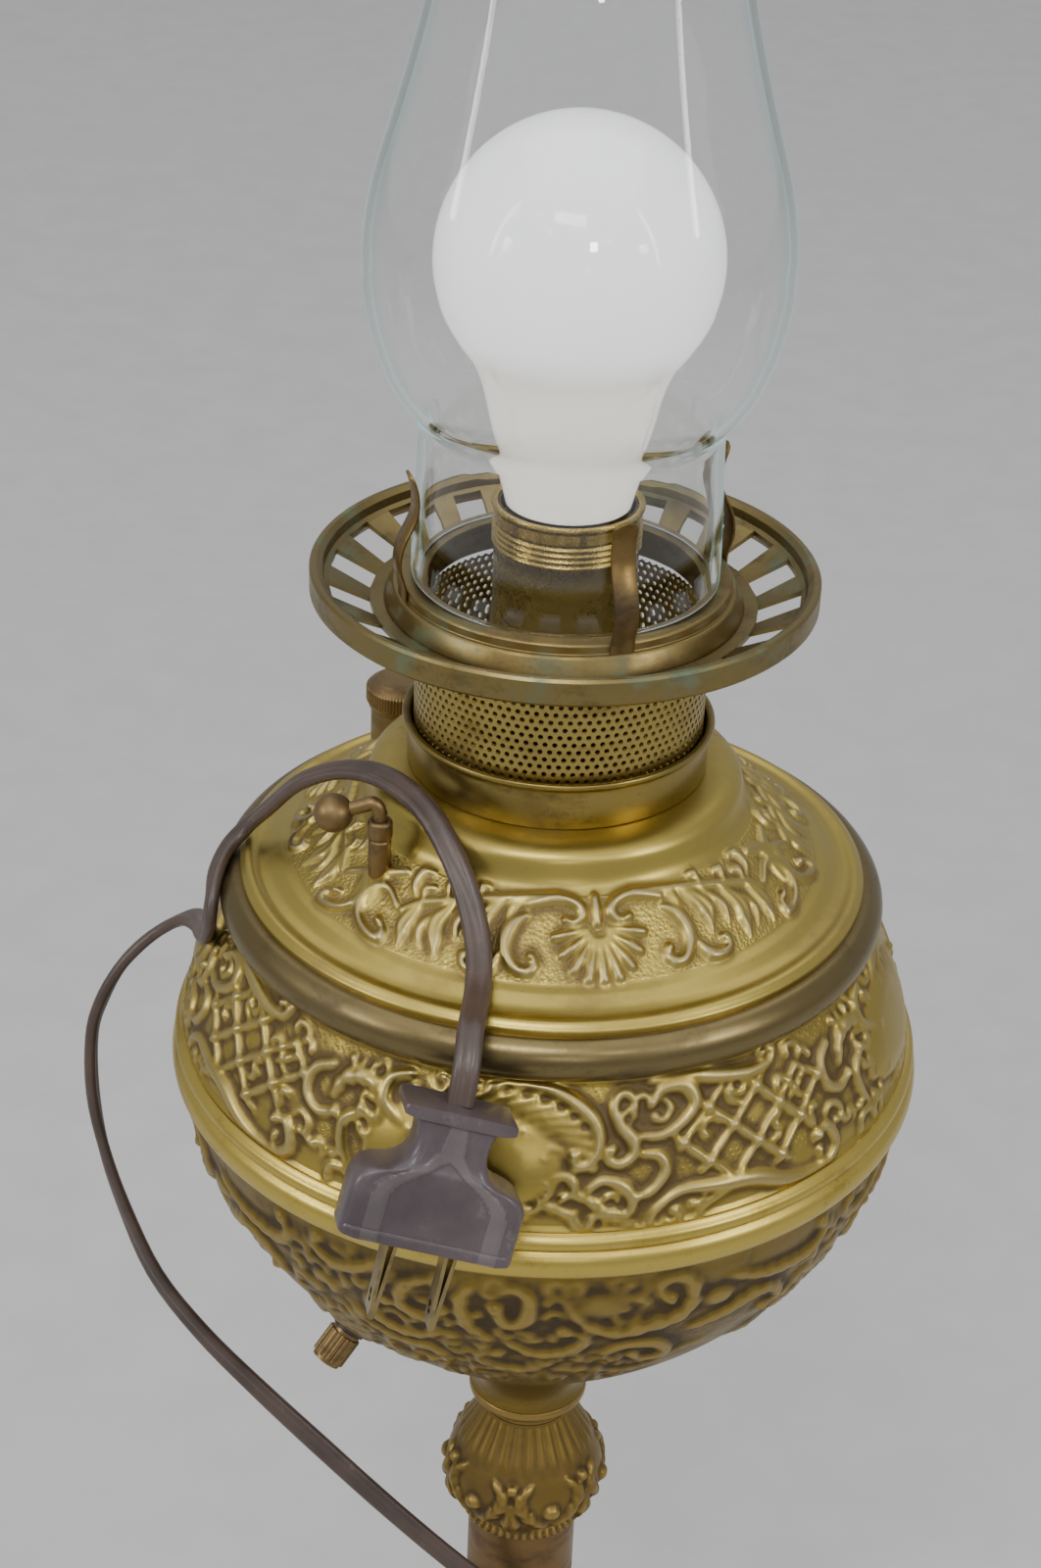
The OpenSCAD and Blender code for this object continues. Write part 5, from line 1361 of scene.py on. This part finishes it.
# %% Plug
at_plug = Matrix.Translation(FLEX[0][:3]) @ Matrix.Rotation(math.radians(5), 4, "Z")
at_plug = at_plug @ Matrix.Rotation(math.radians(15.6), 4, "Y") @ Matrix.Rotation(math.radians(-18.2), 4, "X")
half, length, thick = 18.3, 30, 6.75
outline = [(11.4, 0), (11.8, -0.6), (11.8, -2.2), (8.6, -3)]
outline += curve((8.6, -3), (7, -8), (7.4, -13), (half - 5.4, -14.4), 14)[1:]
outline += curve((half - 5.4, -14.4), (half - 1.8, -15), (half, -16.4), (half, -20), 12)[1:]
outline += [(half, -23), (half, -26), (half, -28.4), (half, -29.6), (half - 0.35, -length)]
outline = np.array(softened(outline, 0.35, False))
level = np.unique(np.concatenate([np.linspace(0, -length, 110), [-0.15, -0.4, -2.3, -2.6, -2.9]]))[::-1]
wide = np.interp(-level, -outline[:, 1], outline[:, 0])
columns = np.linspace(-1, 1, 61)
verts, rib = [], []
for z, w in zip(level, wide):
    body = smoothstep(-2.6, -3.4, z)
    deep = thick - 0.9 * body * smoothstep(-29, -3, z) * smoothstep(11, 8, w)
    corner = 2.2 * body + 0.35
    ends = min(1.0, math.sqrt(max(0.0, 1 - ((0.35 - min(-z, length + z, 0.35)) / 0.35) ** 2)) + 0.94)
    for face in (-1, 1):
        x = columns * w * ends * -face
        edge = np.clip((np.abs(x) - (w * ends - corner)) / corner, 0, 1)
        depth = deep - corner * (1 - np.sqrt(1 - edge**2)) * 0.98
        arch = np.interp(
            -z, [0, 10.5, 11.5, 13, 15, 17, 19, 21, 30], [-9, 0, 1.6, 3.4, 6.6, 9.2, 10.4, 10.8, 10.8]
        )
        outer = np.interp(
            -z, [0, 3, 9, 12, 14, 16, 18, 20, 30], [1.9, 1.9, 2.6, 4.6, 8, 11.6, 13.6, 14.2, 14.2]
        )
        band = smoothstep(arch - 0.25, arch + 0.25, np.abs(x)) * smoothstep(
            outer + 0.25, outer - 0.25, np.abs(x)
        ) * body
        depth = depth + 0.3 * band * smoothstep(-29.6, -29, z)
        depth = depth - 0.22 * math.exp(-(((z + 27.6) / 0.22) ** 2))
        for px, py in zip(x, depth):
            verts.append((px, face * py, z))
        rib.append(band)
rib = np.array(rib).reshape(len(level), -1)
verts = np.array(verts) @ np.array(at_plug.to_3x3()).T + np.array(at_plug.translation)
n = 2 * len(columns)
faces = grid_faces(len(level), n).tolist() + [list(range(n))[::-1], list(range(len(verts) - n, len(verts)))]
plug = add_mesh(
    "plug_moulded", verts, faces, "lamp", [plug_vinyl, plug_scuffed], ["plug_body"], 38
)
marks = np.zeros(len(plug.data.polygons), np.int32)
count = (len(level) - 1) * n
marks[:count] = (rib[:-1] > 0.5).ravel()[:count]
plug.data.polygons.foreach_set("material_index", marks)
print("plug done")

# %% [markdown]
# ## Light and backdrop
# A pale floor under an even grey sky, as in a product studio. One wide soft light hangs overhead
# and a long one stands in front. Small lamps and two upright strips are there for what they look
# like in a mirror: they put the glints on the bulb, the streaks on the glass and the lustre on
# the brass.

# %% Stage
floor_mesh = bpy.data.meshes.new("floor")
floor_mesh.from_pydata([(-4, -4, 0), (4, -4, 0), (4, 4, 0), (-4, 4, 0)], [], [(0, 1, 2, 3)])
paper = Graph("backdrop_paper")
fibre = paper.noise(30, 5, 0.6)
tone = paper.mix(fibre.ramp(0.3, 0.7), (0.485, 0.485, 0.475), (0.515, 0.515, 0.503))
floor_mesh.materials.append(
    paper.finish(Base_Color=tone, Roughness=0.85 + fibre * 0.1, Normal=paper.bump(fibre, 0.0002, 0.1))
)
floor = bpy.data.objects.new("floor", floor_mesh)
bpy.context.scene.collection.objects.link(floor)

world = bpy.data.worlds.new("studio")
bpy.context.scene.world = world
world.use_nodes = True
world.node_tree.nodes["Background"].inputs["Color"].default_value = (0.62, 0.63, 0.65, 1)
world.node_tree.nodes["Background"].inputs["Strength"].default_value = 0.75


def area(name, where, size, power, target=(0, 0, 0.42)):
    light = bpy.data.lights.new(name, "AREA")
    light.shape, light.size, light.size_y, light.energy = "RECTANGLE", *size, power
    lamp = bpy.data.objects.new(name, light)
    lamp.location = where
    lamp.rotation_euler = (Vector(target) - Vector(where)).to_track_quat("-Z", "Y").to_euler()
    bpy.context.scene.collection.objects.link(lamp)


area("overhead", (0, 0.8, 3.6), (4.5, 4.5), 75, (0, 0.8, 0))
area("key", (-0.25, -1.2, 1.9), (0.75, 0.28), 12)
area("left_lamp", (-1.3, -0.7, 1.0), (0.16, 0.24), 4)
area("right_lamp", (1.2, -0.9, 1.1), (0.18, 0.18), 4)
area("spark_left", (-0.55, -1.0, 1.35), (0.06, 0.09), 1.2)
area("spark_right", (0.5, -1.05, 1.25), (0.07, 0.06), 1.2)
area("spark_low", (0.15, -1.2, 0.75), (0.08, 0.05), 0.8)
area("strip_left", (-1.1, -0.35, 1.1), (0.05, 0.9), 2.5, (0, 0, 0.6))
area("strip_right", (1.0, -0.5, 1.1), (0.05, 0.9), 2.5, (0, 0, 0.6))
